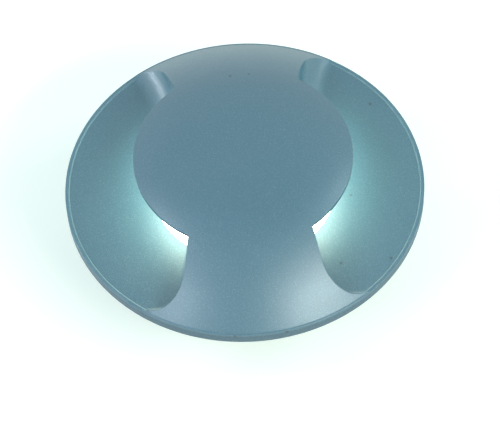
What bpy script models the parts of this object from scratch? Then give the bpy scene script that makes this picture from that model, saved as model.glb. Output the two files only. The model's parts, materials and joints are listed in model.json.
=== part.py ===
"""Recessed floor light with a scooped two-beam cover.

A round domed cover throws light sideways through two windows under its cap.
It is screwed to a ribbed housing that holds the LED board and the driver.
The whole light unit drops into a recess sleeve, where two hinged spring arms
grip the sleeve wall. Metres, +Z up, origin at the centre of the sleeve's base.
"""
import math

import bmesh
import bpy
from mathutils import Matrix, Vector

# Fits and small working values
CLEARANCE = 0.0003
OVERRUN = 0.002
MM_PER_METRE = 1000
MERGE = 0.00001
SMOOTH_ANGLE = math.radians(32)
FLAT_ANGLE = math.radians(1)
FULL_TURN = math.radians(360)
QUARTER_TURN = math.radians(90)
HALF_TURN = math.radians(180)

# Number of flats that a round piece is made of
COVER_STEPS = 72
BODY_STEPS = 48
SMALL_STEPS = 16
SCREW_STEPS = 12
ARC_STEPS = 6

# Cover: a dome over a flat rim, with a cap that overhangs the two windows
COVER_RADIUS = 0.075
RIM_HEIGHT = 0.0049
RIM_FOOT = 0.0004
RIM_SLOPE = 0.90
CAP_RADIUS = 0.0452
CAP_OVERHANG = 0.00695
CAP_EDGE_HEIGHT = 0.0253
CROWN_RISE = 0.0062
CROWN_POWER = 3.4
CROWN_RINGS = 6
FLANK_RINGS = 8
CAP_EDGE_THICKNESS = 0.0015
CAP_THICKNESS = 0.0026
CAP_INNER_RINGS = 4

# Scoops: a side wall that leans off Y, a round corner, then a wall that runs out along X
SCOOP_FLOOR_DROP = 0.0003
SCOOP_SIDE_SHARES = (0.5664, 0.896)
SCOOP_SIDE_ANGLE = math.radians(78)
SCOOP_MARGIN = 0.0144
SCOOP_CORNER_RADIUS = 0.0123
SCOOP_CORNER_STEPS = 7
SCOOP_COVE = 0.0034
COVE_STEPS = 3
COVER_WEB = 0.0018

# Underside of the cover: two pockets under the lobes, each with a rib
POCKET_GAP = 0.0022
POCKET_RIM = 0.0065
POCKET_WALL = 0.0030
POCKET_RIB = 0.0018
POCKET_RINGS = 3
COVER_SCREW_OUTSET = 0.0037
COVER_SCREW_ANGLE = math.radians(17)
COVER_HOLE_SPARE = 0.0033
LAND_MARGIN = 0.0015
LAND_HEIGHT = 0.0002

# Opal diffuser ring behind the windows
DIFFUSER_WALL = 0.0023
DIFFUSER_FLANGE_WIDTH = 0.00295
DIFFUSER_FLANGE = 0.0012
DIFFUSER_SPIGOT = 0.0010
SEAL_THICKNESS = 0.0010
SEAL_GAP = 0.00075

# Side reflector on a post under the cap
POST_RADIUS = 0.0036
REFLECTOR_LIFT = 0.0051
REFLECTOR_APEX_RADIUS = 0.0052
REFLECTOR_GAP = 0.00195
REFLECTOR_SHEET = 0.0008
REFLECTOR_BOW = 0.0016
REFLECTOR_RINGS = 3

# LED module
SPREADER_THICKNESS = 0.0025
BOARD_THICKNESS = 0.0016
BOARD_MARGIN = 0.00515
LED_STRIP_MARGIN = 0.0040
LED_STRIP_WIDTH = 0.0040
LED_STRIP_HEIGHT = 0.0008
LED_STRIP_HALF_ANGLE = math.radians(50)
LED_STRIP_STEPS = 12
LEAD_HOLE_RADIUS = 0.0050

# Housing pot with cooling ribs
FLANGE_MARGIN = 0.0034
FLANGE_THICKNESS = 0.0030
HOUSING_INSET = 0.00525
HOUSING_WALL = 0.0025
HOUSING_DEPTH = 0.0260
HOUSING_FLOOR = 0.0030
HOUSING_DRAFT = 0.0004
RIB_REACH = 0.0036
RIB_THICKNESS = 0.0013
RIB_COUNT = 9
RIB_PITCH = math.radians(11)
RIB_STOP = 0.0020
BOSS_INSET = 0.0030
BOSS_RADIUS = 0.0034
BOSS_LENGTH = 0.0085
PAD_HALF_WIDTH = 0.0070
PAD_PROUD = 0.0003

# Recess sleeve
SLEEVE_GAP = 0.0017
CABLE_ROOM = 0.0028
SLEEVE_WALL = 0.0025
SLEEVE_FLOOR = 0.0025
SLEEVE_COLLAR_WIDTH = 0.0032
SLEEVE_STEP_THICKNESS = 0.0028
SLEEVE_RIB = 0.0014
SLEEVE_RIB_COUNT = 8
SLEEVE_RIB_WIDTH = 0.0022
SLEEVE_RIB_STOP = 0.0020
KNOCKOUT_RADIUS = 0.0080
KNOCKOUT_REACH = 0.0008
CONDUIT_HOLE_RADIUS = 0.0120

# Screws with round or countersunk heads and a round socket
SCREW_RADIUS = 0.0015
SCREW_HEAD_RADIUS = 0.0029
SCREW_HEAD_HEIGHT = 0.0018
SCREW_SOCKET_RADIUS = 0.0013
SCREW_SOCKET_DEPTH = 0.0010
SCREW_TIP_SHARE = 0.6
COVER_SCREW_LENGTH = 0.0100
BOARD_SCREW_LENGTH = 0.0100
REFLECTOR_SCREW_LENGTH = 0.0090
DRIVER_SCREW_LENGTH = 0.0050
EARTH_SCREW_LENGTH = 0.0033

# Driver and terminal block
DRIVER_LENGTH_SHARE = 1.082
DRIVER_WIDTH_SHARE = 0.689
DRIVER_HEIGHT = 0.0105
DRIVER_Y_SHARE = -0.262
DRIVER_EDGE = 0.0010
DRIVER_LID = 0.0012
DRIVER_TAB = 0.0060
DRIVER_MAINS_SHARE = 0.3
DRIVER_TAB_THICKNESS = 0.0016
BLOCK_LENGTH_SHARE = 0.328
BLOCK_WIDTH_SHARE = 0.295
BLOCK_HEIGHT = 0.0075
BLOCK_X_SHARE = 0.607
BLOCK_Y_SHARE = 0.393
BLOCK_EDGE = 0.0006
BLOCK_PITCH_SHARE = 0.5
BLOCK_PORT_RADIUS = 0.0012
BLOCK_PORT_DEPTH = 0.0030

# Internal leads
LEAD_RADIUS = 0.0007
LEAD_POINTS = 13
LEAD_ABOVE_LID_SHARE = 0.8
LEAD_IN_HOLE_SHARE = 0.3
LEAD_BEND_SHARE = 1.6
LEAD_END_SHARE = 2.0

# Cable gland in the housing floor
GLAND_Y_SHARE = 0.541
GLAND_THREAD_RADIUS = 0.0060
GLAND_WALL = 0.0014
GLAND_HEX_REACH = 0.0020
GLAND_HEX_HEIGHT = 0.0030
GLAND_NECK_LENGTH = 0.0060
GLAND_NUT_REACH = 0.0018
GLAND_NUT_LIP = 0.0020
GLAND_DOME_SHARES = ((1.0, 0.62), (0.90, 0.82), (0.78, 1.0))
GLAND_THREAD_SHOWS = 0.0010
GLAND_NUT_FLATS = 6
GLAND_WASHER_REACH = 0.0016
GLAND_WASHER_THICKNESS = 0.0010
LOCKNUT_HEIGHT = 0.0026
GLAND_MOUTH_STEP = 0.0016
GROMMET_WALL = 0.0012
GROMMET_LENGTH = 0.0060
GROMMET_FLANGE = 0.0015

# Spring clips: bracket, pin, arm and torsion spring
CLIP_SHEET = 0.0008
BRACKET_HALF_WIDTH = 0.0060
BRACKET_TOP = 0.0085
BRACKET_EAR_WALL = 0.0013
BRACKET_EAR_ROOT = 0.0060
BRACKET_EDGE_STEP = 0.0002
PIN_RADIUS = 0.0009
PIN_HEAD_REACH = 0.0006
PIN_HEAD_THICKNESS = 0.0005
PIN_GAP = 0.0004
PIN_HEIGHT_FROM_FOOT = 0.0030
ARM_HALF_WIDTH = 0.0044
ARM_BARREL_WALL = 0.0011
ARM_TIP_GAP = 0.0037
ARM_TIP_LENGTH = 0.0030
ARM_TIP_RETURN = 0.0016
ARM_NOTCH_SHARE = 0.5
SPRING_WIRE_RADIUS = 0.00025
SPRING_COIL_GAP = 0.00095
SPRING_PITCH = 0.00095
SPRING_WHOLE_TURNS = 2
SPRING_POINTS_PER_TURN = 10
SPRING_FIXED_LEG_SHARE = 0.3125
SPRING_MOVING_LEG_SHARE = 0.594
RIVET_RADIUS = 0.0009
RIVET_HEAD_REACH = 0.0008
RIVET_HEAD_HEIGHT = 0.0008
RIVET_HEAD_SHARES = ((0.0, 1.0), (0.6, 0.85), (1.0, 0.3), (1.0, 0.0))
RIVET_LENGTH = 0.0020
RIVET_Y = 0.0034
RIVET_BELOW_TOP = 0.0024

# Radii worked out from the sizes above
DIFFUSER_RADIUS = CAP_RADIUS - CAP_OVERHANG
DIFFUSER_FLANGE_RADIUS = DIFFUSER_RADIUS + DIFFUSER_FLANGE_WIDTH
WINDOW_RADIUS = DIFFUSER_RADIUS + CLEARANCE
SEAT_RADIUS = DIFFUSER_FLANGE_RADIUS + CLEARANCE
SPREADER_RADIUS = DIFFUSER_RADIUS - DIFFUSER_WALL - CLEARANCE
REFLECTOR_RADIUS = DIFFUSER_RADIUS - DIFFUSER_WALL - REFLECTOR_GAP
BOARD_RADIUS = SPREADER_RADIUS - BOARD_MARGIN
LED_STRIP_OUTER = BOARD_RADIUS - LED_STRIP_MARGIN
LED_STRIP_INNER = LED_STRIP_OUTER - LED_STRIP_WIDTH
COVER_SCREW_CIRCLE = DIFFUSER_FLANGE_RADIUS + COVER_SCREW_OUTSET
FLANGE_RADIUS = COVER_SCREW_CIRCLE + FLANGE_MARGIN
POCKET_INNER_RADIUS = FLANGE_RADIUS + POCKET_GAP
POCKET_OUTER_RADIUS = COVER_RADIUS - POCKET_RIM
SCOOP_SIDE_X = CAP_RADIUS * SCOOP_SIDE_SHARES[0]
SCOOP_SIDE_Y = CAP_RADIUS * SCOOP_SIDE_SHARES[1]
SCOOP_HALF_WIDTH = COVER_RADIUS - SCOOP_MARGIN
HOUSING_RADIUS = DIFFUSER_RADIUS - HOUSING_INSET
POT_RADIUS = HOUSING_RADIUS - HOUSING_WALL
RIB_RADIUS = HOUSING_RADIUS + RIB_REACH
BOSS_CIRCLE = POT_RADIUS - BOSS_INSET
PAD_REACH = HOUSING_RADIUS + PAD_PROUD
ARM_BARREL_RADIUS = PIN_RADIUS + ARM_BARREL_WALL
BRACKET_X = PAD_REACH + CLEARANCE
BRACKET_FACE_X = BRACKET_X + CLIP_SHEET
PIN_X = BRACKET_FACE_X + PIN_GAP + ARM_BARREL_RADIUS
SLEEVE_INNER_RADIUS = PIN_X + ARM_BARREL_RADIUS + SLEEVE_GAP
SLEEVE_COLLAR_RADIUS = FLANGE_RADIUS + SLEEVE_COLLAR_WIDTH
LAND_RADIUS = SLEEVE_COLLAR_RADIUS + LAND_MARGIN
PIN_HOLE_RADIUS = PIN_RADIUS + CLEARANCE
PIN_HEAD_RADIUS = PIN_RADIUS + PIN_HEAD_REACH
BRACKET_EAR_REACH = PIN_RADIUS + BRACKET_EAR_WALL
SPRING_COIL_RADIUS = PIN_RADIUS + SPRING_COIL_GAP
RIVET_HOLE_RADIUS = RIVET_RADIUS + CLEARANCE
RIVET_HEAD_RADIUS = RIVET_RADIUS + RIVET_HEAD_REACH
SCREW_HOLE_RADIUS = SCREW_RADIUS + CLEARANCE
SCREW_HEAD_HOLE_RADIUS = SCREW_HEAD_RADIUS + CLEARANCE
GLAND_BORE_RADIUS = GLAND_THREAD_RADIUS - GLAND_WALL
GLAND_HEX_RADIUS = GLAND_THREAD_RADIUS + GLAND_HEX_REACH
GLAND_NUT_RADIUS = GLAND_THREAD_RADIUS + GLAND_NUT_REACH
GLAND_WASHER_RADIUS = GLAND_THREAD_RADIUS + GLAND_WASHER_REACH
LOCKNUT_RADIUS = GLAND_NUT_RADIUS
GLAND_MOUTH_RADIUS = GLAND_THREAD_RADIUS - GLAND_MOUTH_STEP
GROMMET_BORE_RADIUS = GLAND_BORE_RADIUS - CLEARANCE - GROMMET_WALL

# What lies in the pot, placed and sized by the pot's radius
DRIVER_LENGTH = POT_RADIUS * DRIVER_LENGTH_SHARE
DRIVER_WIDTH = POT_RADIUS * DRIVER_WIDTH_SHARE
DRIVER_Y = POT_RADIUS * DRIVER_Y_SHARE
BLOCK_LENGTH = POT_RADIUS * BLOCK_LENGTH_SHARE
BLOCK_WIDTH = POT_RADIUS * BLOCK_WIDTH_SHARE
BLOCK_X = POT_RADIUS * BLOCK_X_SHARE
BLOCK_Y = POT_RADIUS * BLOCK_Y_SHARE
BLOCK_PITCH = BLOCK_LENGTH * BLOCK_PITCH_SHARE
EARTH_X = -BLOCK_X
EARTH_Y = BLOCK_Y
GLAND_Y = POT_RADIUS * GLAND_Y_SHARE

# Heights worked out from the sizes above
CROWN_HEIGHT = CAP_EDGE_HEIGHT + CROWN_RISE
GLAND_NUT_LENGTH = GLAND_NECK_LENGTH + GROMMET_FLANGE + CLEARANCE + GLAND_NUT_LIP
GLAND_STACK = GLAND_WASHER_THICKNESS + GLAND_HEX_HEIGHT + GLAND_NUT_LENGTH + CLEARANCE * 3
HOUSING_BOTTOM_Z = SLEEVE_FLOOR + CABLE_ROOM + GLAND_STACK
COVER_Z = HOUSING_BOTTOM_Z + HOUSING_DEPTH
SCOOP_FLOOR_Z = COVER_Z + RIM_HEIGHT - SCOOP_FLOOR_DROP
SEAT_Z = SCOOP_FLOOR_Z - COVER_WEB
CAP_UNDERSIDE_Z = COVER_Z + CAP_EDGE_HEIGHT - CAP_EDGE_THICKNESS
DIFFUSER_TOP_Z = CAP_UNDERSIDE_Z + DIFFUSER_SPIGOT
DIFFUSER_FLANGE_Z = SEAT_Z - CLEARANCE - DIFFUSER_FLANGE
SEAL_TOP_Z = DIFFUSER_FLANGE_Z - CLEARANCE
FLANGE_TOP_Z = SEAL_TOP_Z - SEAL_THICKNESS - CLEARANCE
FLANGE_BOTTOM_Z = FLANGE_TOP_Z - FLANGE_THICKNESS
COVER_HOLE_TOP_Z = FLANGE_BOTTOM_Z + COVER_SCREW_LENGTH + COVER_HOLE_SPARE
HOUSING_FLOOR_Z = HOUSING_BOTTOM_Z + HOUSING_FLOOR
SPREADER_Z = FLANGE_TOP_Z + CLEARANCE
SPREADER_TOP_Z = SPREADER_Z + SPREADER_THICKNESS
BOARD_Z = SPREADER_TOP_Z + CLEARANCE
BOARD_TOP_Z = BOARD_Z + BOARD_THICKNESS
LED_STRIP_Z = BOARD_TOP_Z + CLEARANCE
REFLECTOR_APEX_Z = BOARD_TOP_Z + REFLECTOR_LIFT
POST_END_Z = REFLECTOR_APEX_Z + REFLECTOR_SHEET + CLEARANCE
DRIVER_Z = HOUSING_FLOOR_Z + CLEARANCE
DRIVER_TOP_Z = DRIVER_Z + DRIVER_HEIGHT
LID_TOP_Z = DRIVER_TOP_Z + CLEARANCE + DRIVER_LID
BLOCK_Z = HOUSING_FLOOR_Z + CLEARANCE
GLAND_WASHER_Z = HOUSING_BOTTOM_Z - CLEARANCE
GLAND_HEX_TOP_Z = GLAND_WASHER_Z - GLAND_WASHER_THICKNESS - CLEARANCE
GLAND_HEX_BOTTOM_Z = GLAND_HEX_TOP_Z - GLAND_HEX_HEIGHT
GLAND_NUT_TOP_Z = GLAND_HEX_BOTTOM_Z - CLEARANCE
BRACKET_FOOT_Z = HOUSING_BOTTOM_Z
BRACKET_TOP_Z = COVER_Z - BRACKET_TOP
PIN_Z = BRACKET_FOOT_Z + PIN_HEIGHT_FROM_FOOT
ARM_TIP_HEIGHT = FLANGE_BOTTOM_Z - ARM_TIP_GAP - PIN_Z
ARM_BUMP_HEIGHT = ARM_TIP_HEIGHT - ARM_TIP_LENGTH
ARM_NOTCH_HEIGHT = ARM_TIP_HEIGHT * ARM_NOTCH_SHARE
SPRING_FIXED_LEG = ARM_TIP_HEIGHT * SPRING_FIXED_LEG_SHARE
SPRING_MOVING_LEG = ARM_TIP_HEIGHT * SPRING_MOVING_LEG_SHARE
RIVET_Z = BRACKET_TOP_Z - RIVET_BELOW_TOP


def clear_scene():
    """Remove whatever the scene holds and make the two collections."""
    for obj in list(bpy.data.objects):
        bpy.data.objects.remove(obj, do_unlink=True)
    collections = []
    for name in ("recessed_floor_light", "cutters"):
        collection = bpy.data.collections.new(name)
        bpy.context.scene.collection.children.link(collection)
        collections.append(collection)
    return collections


PARTS, CUTTERS = clear_scene()


def principled(name, colour, roughness, metallic):
    """A plain Principled material."""
    material = bpy.data.materials.new(name)
    material.use_nodes = True
    shader = material.node_tree.nodes["Principled BSDF"]
    shader.inputs["Base Color"].default_value = (*colour, 1)
    shader.inputs["Roughness"].default_value = roughness
    shader.inputs["Metallic"].default_value = metallic
    return material


def glowing(name, colour, strength):
    """An opal material that also gives off light."""
    material = principled(name, colour, 0.35, 0)
    shader = material.node_tree.nodes["Principled BSDF"]
    shader.inputs["Emission Color"].default_value = (*colour, 1)
    shader.inputs["Emission Strength"].default_value = strength
    return material


COVER_FINISH = principled("silver_powder_coat", (0.23, 0.36, 0.42), 0.42, 0.75)
CAST_ALUMINIUM = principled("cast_aluminium", (0.52, 0.53, 0.54), 0.45, 1)
STEEL = principled("stainless_steel", (0.62, 0.62, 0.60), 0.3, 1)
BRASS = principled("nickel_plated_brass", (0.66, 0.62, 0.50), 0.3, 1)
OPAL = glowing("opal_plastic", (0.93, 1.0, 0.97), 3.0)
PHOSPHOR = glowing("led_phosphor", (1.0, 0.93, 0.62), 2.0)
BOARD_WHITE = principled("board_white", (0.85, 0.86, 0.84), 0.5, 0)
RUBBER = principled("seal_rubber", (0.03, 0.03, 0.032), 0.75, 0)
GREY_PLASTIC = principled("sleeve_plastic", (0.075, 0.078, 0.08), 0.55, 0)
BLACK_PLASTIC = principled("black_plastic", (0.035, 0.036, 0.04), 0.45, 0)
WHITE_PLASTIC = principled("white_plastic", (0.78, 0.78, 0.76), 0.45, 0)
RED_LEAD = principled("red_insulation", (0.55, 0.03, 0.03), 0.5, 0)
BLACK_LEAD = principled("black_insulation", (0.02, 0.02, 0.02), 0.5, 0)
BROWN_LEAD = principled("brown_insulation", (0.17, 0.07, 0.03), 0.5, 0)
BLUE_LEAD = principled("blue_insulation", (0.03, 0.12, 0.5), 0.5, 0)
GREEN_LEAD = principled("green_insulation", (0.10, 0.42, 0.06), 0.5, 0)


def new_object(name, data, material):
    """Link an object to the parts, or to the hidden cutters when it has no material."""
    obj = bpy.data.objects.new(name, data)
    if material is None:
        CUTTERS.objects.link(obj)
        obj.hide_render = True
        obj.display_type = "WIRE"
    else:
        PARTS.objects.link(obj)
        data.materials.append(material)
    return obj


def smooth(mesh):
    """Shade a round mesh smooth but keep its hard edges."""
    mesh.shade_smooth()
    mesh.set_sharp_from_angle(angle=SMOOTH_ANGLE)


def mesh_from(name, bm, material):
    """Write a bmesh to a new object."""
    mesh = bpy.data.meshes.new(name)
    bm.to_mesh(mesh)
    bm.free()
    smooth(mesh)
    return new_object(name, mesh, material)


def turned(name, outline, steps, material, closed=False):
    """Turn an outline of (radius, height) points about Z with a Screw modifier."""
    bm = bmesh.new()
    verts = [bm.verts.new((radius, 0, height)) for radius, height in outline]
    pairs = list(zip(verts, verts[1:]))
    if closed:
        pairs.append((verts[-1], verts[0]))
    for start, end in pairs:
        bm.edges.new((start, end))
    obj = mesh_from(name, bm, material)
    screw = obj.modifiers.new("turn", "SCREW")
    screw.axis = "Z"
    screw.angle = FULL_TURN
    screw.steps = steps
    screw.render_steps = steps
    screw.use_merge_vertices = True
    screw.merge_threshold = MERGE
    screw.use_smooth_shade = True
    return obj


def box(name, low, high, material, edge=0.0):
    """A box between two corners, with its edges rounded when edge is given."""
    bm = bmesh.new()
    bmesh.ops.create_cube(bm, size=1)
    size = [b - a for a, b in zip(low, high)]
    middle = [(a + b) / 2 for a, b in zip(low, high)]
    bmesh.ops.scale(bm, vec=size, verts=bm.verts)
    bmesh.ops.translate(bm, vec=middle, verts=bm.verts)
    obj = mesh_from(name, bm, material)
    if edge:
        bevel = obj.modifiers.new("edge", "BEVEL")
        bevel.width = edge
        bevel.segments = 2
        bevel.limit_method = "ANGLE"
    return obj


def cylinder(name, radius, start, end, material, steps=SMALL_STEPS):
    """A closed cylinder between two points."""
    start = Vector(start)
    end = Vector(end)
    along = end - start
    turn = along.to_track_quat("Z", "Y").to_matrix().to_4x4()
    bm = bmesh.new()
    bmesh.ops.create_cone(
        bm, cap_ends=True, segments=steps, radius1=radius, radius2=radius, depth=along.length,
        matrix=Matrix.Translation((start + end) / 2) @ turn)
    return mesh_from(name, bm, material)


def slab(name, outline, low, high, material):
    """A flat outline of (x, y) points made solid between two heights."""
    curve = bpy.data.curves.new(name, "CURVE")
    curve.dimensions = "2D"
    curve.fill_mode = "BOTH"
    curve.extrude = (high - low) / 2
    spline = curve.splines.new("POLY")
    spline.points.add(len(outline) - 1)
    for point, (x, y) in zip(spline.points, outline):
        point.co = (x, y, 0, 1)
    spline.use_cyclic_u = True
    obj = new_object(name, curve, None)
    obj.location.z = (low + high) / 2
    return to_mesh(obj, name, material)


def to_mesh(curve_object, name, material):
    """Replace a curve object by a mesh with its caps welded on."""
    bpy.context.view_layer.update()
    graph = bpy.context.evaluated_depsgraph_get()
    mesh = bpy.data.meshes.new_from_object(curve_object.evaluated_get(graph))
    place = curve_object.matrix_world.copy()
    old = curve_object.data
    bpy.data.objects.remove(curve_object)
    bpy.data.curves.remove(old)
    bm = bmesh.new()
    bm.from_mesh(mesh)
    bmesh.ops.remove_doubles(bm, verts=bm.verts, dist=MERGE)
    bm.to_mesh(mesh)
    bm.free()
    mesh.materials.clear()
    smooth(mesh)
    obj = new_object(name, mesh, material)
    obj.matrix_world = place
    return obj


def wire(name, points, radius, material, resolution=2):
    """A round wire along a list of points, with capped ends."""
    curve = bpy.data.curves.new(name, "CURVE")
    curve.dimensions = "3D"
    curve.bevel_depth = radius
    curve.bevel_resolution = resolution
    curve.use_fill_caps = True
    spline = curve.splines.new("POLY")
    spline.points.add(len(points) - 1)
    for point, place in zip(spline.points, points):
        point.co = (*place, 1)
    obj = new_object(name, curve, None)
    return to_mesh(obj, name, material)


def combine(obj, other, operation):
    """Cut with, join with or keep what is shared with another object."""
    modifier = obj.modifiers.new(other.name, "BOOLEAN")
    modifier.operation = operation
    modifier.solver = "EXACT"
    modifier.object = other
    return obj


def cut(obj, *others):
    """Cut other objects away."""
    for other in others:
        combine(obj, other, "DIFFERENCE")
    return obj


def join(obj, *others):
    """Join other objects on."""
    for other in others:
        combine(obj, other, "UNION")
    return obj


def ring(inner, outer, low, high):
    """The closed outline of a plain ring, for turned()."""
    return [(inner, high), (outer, high), (outer, low), (inner, low)]


def polar(radius, angle):
    """A point in plan at a radius and an angle from +X."""
    return radius * math.cos(angle), radius * math.sin(angle)


def share(count):
    """Even shares from 0 to 1 in a number of steps."""
    return [step / count for step in range(count + 1)]


def dome_height(radius):
    """Height of the cover's outer surface above its underside."""
    if radius <= CAP_RADIUS:
        return CROWN_HEIGHT - CROWN_RISE * (radius / CAP_RADIUS) ** CROWN_POWER
    flank = COVER_RADIUS - CAP_RADIUS
    start_slope = -CROWN_POWER * CROWN_RISE / CAP_RADIUS
    t = (radius - CAP_RADIUS) / flank
    return (CAP_EDGE_HEIGHT * (2 * t ** 3 - 3 * t ** 2 + 1)
            + start_slope * flank * (t ** 3 - 2 * t ** 2 + t)
            + RIM_HEIGHT * (3 * t ** 2 - 2 * t ** 3)
            - RIM_SLOPE * flank * (t ** 3 - t ** 2))


def dome_outline():
    """Points down the outside of the dome, from the crown to the rim."""
    radii = [CAP_RADIUS * s for s in share(CROWN_RINGS)]
    radii += [CAP_RADIUS + (COVER_RADIUS - CAP_RADIUS) * s for s in share(FLANK_RINGS)[1:]]
    return [(radius, COVER_Z + dome_height(radius)) for radius in radii]


def cover_outline():
    """The cover's outline: dome, rim, land, relief, diffuser seat, cavity and post."""
    outline = dome_outline()
    outline += [(COVER_RADIUS, COVER_Z + RIM_FOOT), (COVER_RADIUS - RIM_FOOT, COVER_Z)]
    relief = COVER_Z + LAND_HEIGHT
    outline += [(LAND_RADIUS, COVER_Z), (LAND_RADIUS, relief), (SEAT_RADIUS, relief)]
    outline += [(SEAT_RADIUS, SEAT_Z), (WINDOW_RADIUS, SEAT_Z)]
    for s in reversed(share(CAP_INNER_RINGS)):
        radius = POST_RADIUS + (WINDOW_RADIUS - POST_RADIUS) * s
        outline.append((radius, COVER_Z + dome_height(radius) - CAP_THICKNESS))
    hole_top = POST_END_Z + REFLECTOR_SCREW_LENGTH
    outline += [(POST_RADIUS, POST_END_Z), (SCREW_HOLE_RADIUS, POST_END_Z)]
    outline += [(SCREW_HOLE_RADIUS, hole_top), (0, hole_top)]
    return outline


def scoop_outline(side, grow):
    """Plan outline of a scoop on one side, made larger all round by grow."""
    lean = (math.cos(SCOOP_SIDE_ANGLE), math.sin(SCOOP_SIDE_ANGLE))
    slope = lean[1] / lean[0]
    at_centre = SCOOP_SIDE_Y - SCOOP_SIDE_X * slope + grow / lean[0]
    near_x = line_meets_circle(slope, at_centre, WINDOW_RADIUS - OVERRUN - CLEARANCE)
    corner = SCOOP_CORNER_RADIUS + grow
    middle_y = SCOOP_HALF_WIDTH + grow - corner
    middle_x = (middle_y - at_centre + corner / lean[0]) / slope
    half = [(near_x, at_centre + slope * near_x)]
    start = QUARTER_TURN + SCOOP_SIDE_ANGLE
    for s in share(SCOOP_CORNER_STEPS):
        x, y = polar(corner, start + (QUARTER_TURN - start) * s)
        half.append((middle_x + x, middle_y + y))
    half.append((COVER_RADIUS + OVERRUN, middle_y + corner))
    return [(side * x, y) for x, y in half] + [(side * x, -y) for x, y in reversed(half)]


def line_meets_circle(slope, at_centre, radius):
    """X of the point on a circle about the origin where y = at_centre + slope * x."""
    a = 1 + slope ** 2
    b = slope * at_centre
    c = at_centre ** 2 - radius ** 2
    return (math.sqrt(b ** 2 - a * c) - b) / a


def scoop_blank(name, side):
    """A scoop's hollow, its foot rounded to the cove all along the walls."""
    blank = slab(name, scoop_outline(side, 0), SCOOP_FLOOR_Z, COVER_Z + CROWN_HEIGHT + OVERRUN, None)
    foot = -(COVER_Z + CROWN_HEIGHT + OVERRUN - SCOOP_FLOOR_Z) / 2
    bm = bmesh.new()
    bm.from_mesh(blank.data)
    bmesh.ops.dissolve_limit(bm, angle_limit=FLAT_ANGLE, verts=bm.verts, edges=bm.edges)
    edges = [edge for edge in bm.edges if is_wall_foot(edge, foot)]
    bmesh.ops.bevel(bm, geom=edges, offset=SCOOP_COVE, offset_type="OFFSET", segments=COVE_STEPS,
                    profile=0.5, affect="EDGES")
    bm.to_mesh(blank.data)
    bm.free()
    return blank


def is_wall_foot(edge, foot):
    """True for an outline edge at the foot of a scoop's walls, not at its open ends."""
    a, b = (vert.co for vert in edge.verts)
    on_floor = abs(a.z - foot) < MERGE and abs(b.z - foot) < MERGE
    folded = len(edge.link_faces) == 2 and edge.calc_face_angle() > SMOOTH_ANGLE
    return on_floor and folded and a.y * b.y > 0


def cap_mushroom():
    """What a scoop leaves standing: the cap, and the cavity that the diffuser fills."""
    top = COVER_Z + CROWN_HEIGHT + OVERRUN + OVERRUN
    stem = WINDOW_RADIUS - OVERRUN
    outline = [(0, top), (CAP_RADIUS, top), (CAP_RADIUS, CAP_UNDERSIDE_Z)]
    outline += [(stem, CAP_UNDERSIDE_Z), (stem, COVER_Z), (0, COVER_Z)]
    return turned("cap_mushroom", outline, COVER_STEPS, None)


def lobe_pockets():
    """Ring-shaped pocket under the dome, kept to the lobes and split by ribs."""
    outline = []
    for s in share(POCKET_RINGS):
        radius = POCKET_INNER_RADIUS + (POCKET_OUTER_RADIUS - POCKET_INNER_RADIUS) * s
        outline.append((radius, COVER_Z + dome_height(radius) - POCKET_WALL))
    outline += [(POCKET_OUTER_RADIUS, COVER_Z - OVERRUN), (POCKET_INNER_RADIUS, COVER_Z - OVERRUN)]
    pockets = turned("lobe_pockets", outline, COVER_STEPS, None, closed=True)
    for side, name in ((-1, "left"), (1, "right")):
        cut(pockets, slab(f"pocket_limit_{name}", scoop_outline(side, POCKET_WALL),
                          COVER_Z - OVERRUN - OVERRUN, COVER_Z + CROWN_HEIGHT, None))
    rib = box("pocket_rib", (-POCKET_RIB / 2, -COVER_RADIUS, COVER_Z - OVERRUN - OVERRUN),
              (POCKET_RIB / 2, COVER_RADIUS, COVER_Z + CROWN_HEIGHT), None)
    return cut(pockets, rib)


def cover_screw_places():
    """Plan positions of the four screws that hold the cover to the housing."""
    places = []
    for middle in (QUARTER_TURN, -QUARTER_TURN):
        for turn in (-COVER_SCREW_ANGLE, COVER_SCREW_ANGLE):
            places.append(polar(COVER_SCREW_CIRCLE, middle + turn))
    return places


def cover():
    """Die-cast cover with its two scoops, lobe pockets and screw bosses."""
    body = turned("cover", cover_outline(), COVER_STEPS, COVER_FINISH)
    mushroom = cap_mushroom()
    for side, name in ((-1, "scoop_left"), (1, "scoop_right")):
        cut(body, cut(scoop_blank(name, side), mushroom))
    cut(body, lobe_pockets())
    for index, (x, y) in enumerate(cover_screw_places()):
        cut(body, cylinder(f"cover_hole_{index + 1}", SCREW_HOLE_RADIUS, (x, y, COVER_Z - OVERRUN),
                           (x, y, COVER_HOLE_TOP_Z), None, SCREW_STEPS))
    return body


def diffuser():
    """Opal ring with a foot flange that the cover clamps on the seal."""
    inner = DIFFUSER_RADIUS - DIFFUSER_WALL
    flange_top = DIFFUSER_FLANGE_Z + DIFFUSER_FLANGE
    outline = [(inner, DIFFUSER_TOP_Z), (DIFFUSER_RADIUS, DIFFUSER_TOP_Z)]
    outline += [(DIFFUSER_RADIUS, flange_top), (DIFFUSER_FLANGE_RADIUS, flange_top)]
    outline += [(DIFFUSER_FLANGE_RADIUS, DIFFUSER_FLANGE_Z), (inner, DIFFUSER_FLANGE_Z)]
    return turned("diffuser", outline, COVER_STEPS, OPAL, closed=True)


def diffuser_seal():
    """Flat rubber ring between the diffuser's foot and the housing flange."""
    outer = DIFFUSER_FLANGE_RADIUS
    low = SEAL_TOP_Z - SEAL_THICKNESS
    return turned("diffuser_seal", ring(SPREADER_RADIUS + SEAL_GAP, outer, low, SEAL_TOP_Z),
                  BODY_STEPS, RUBBER, closed=True)


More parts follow.
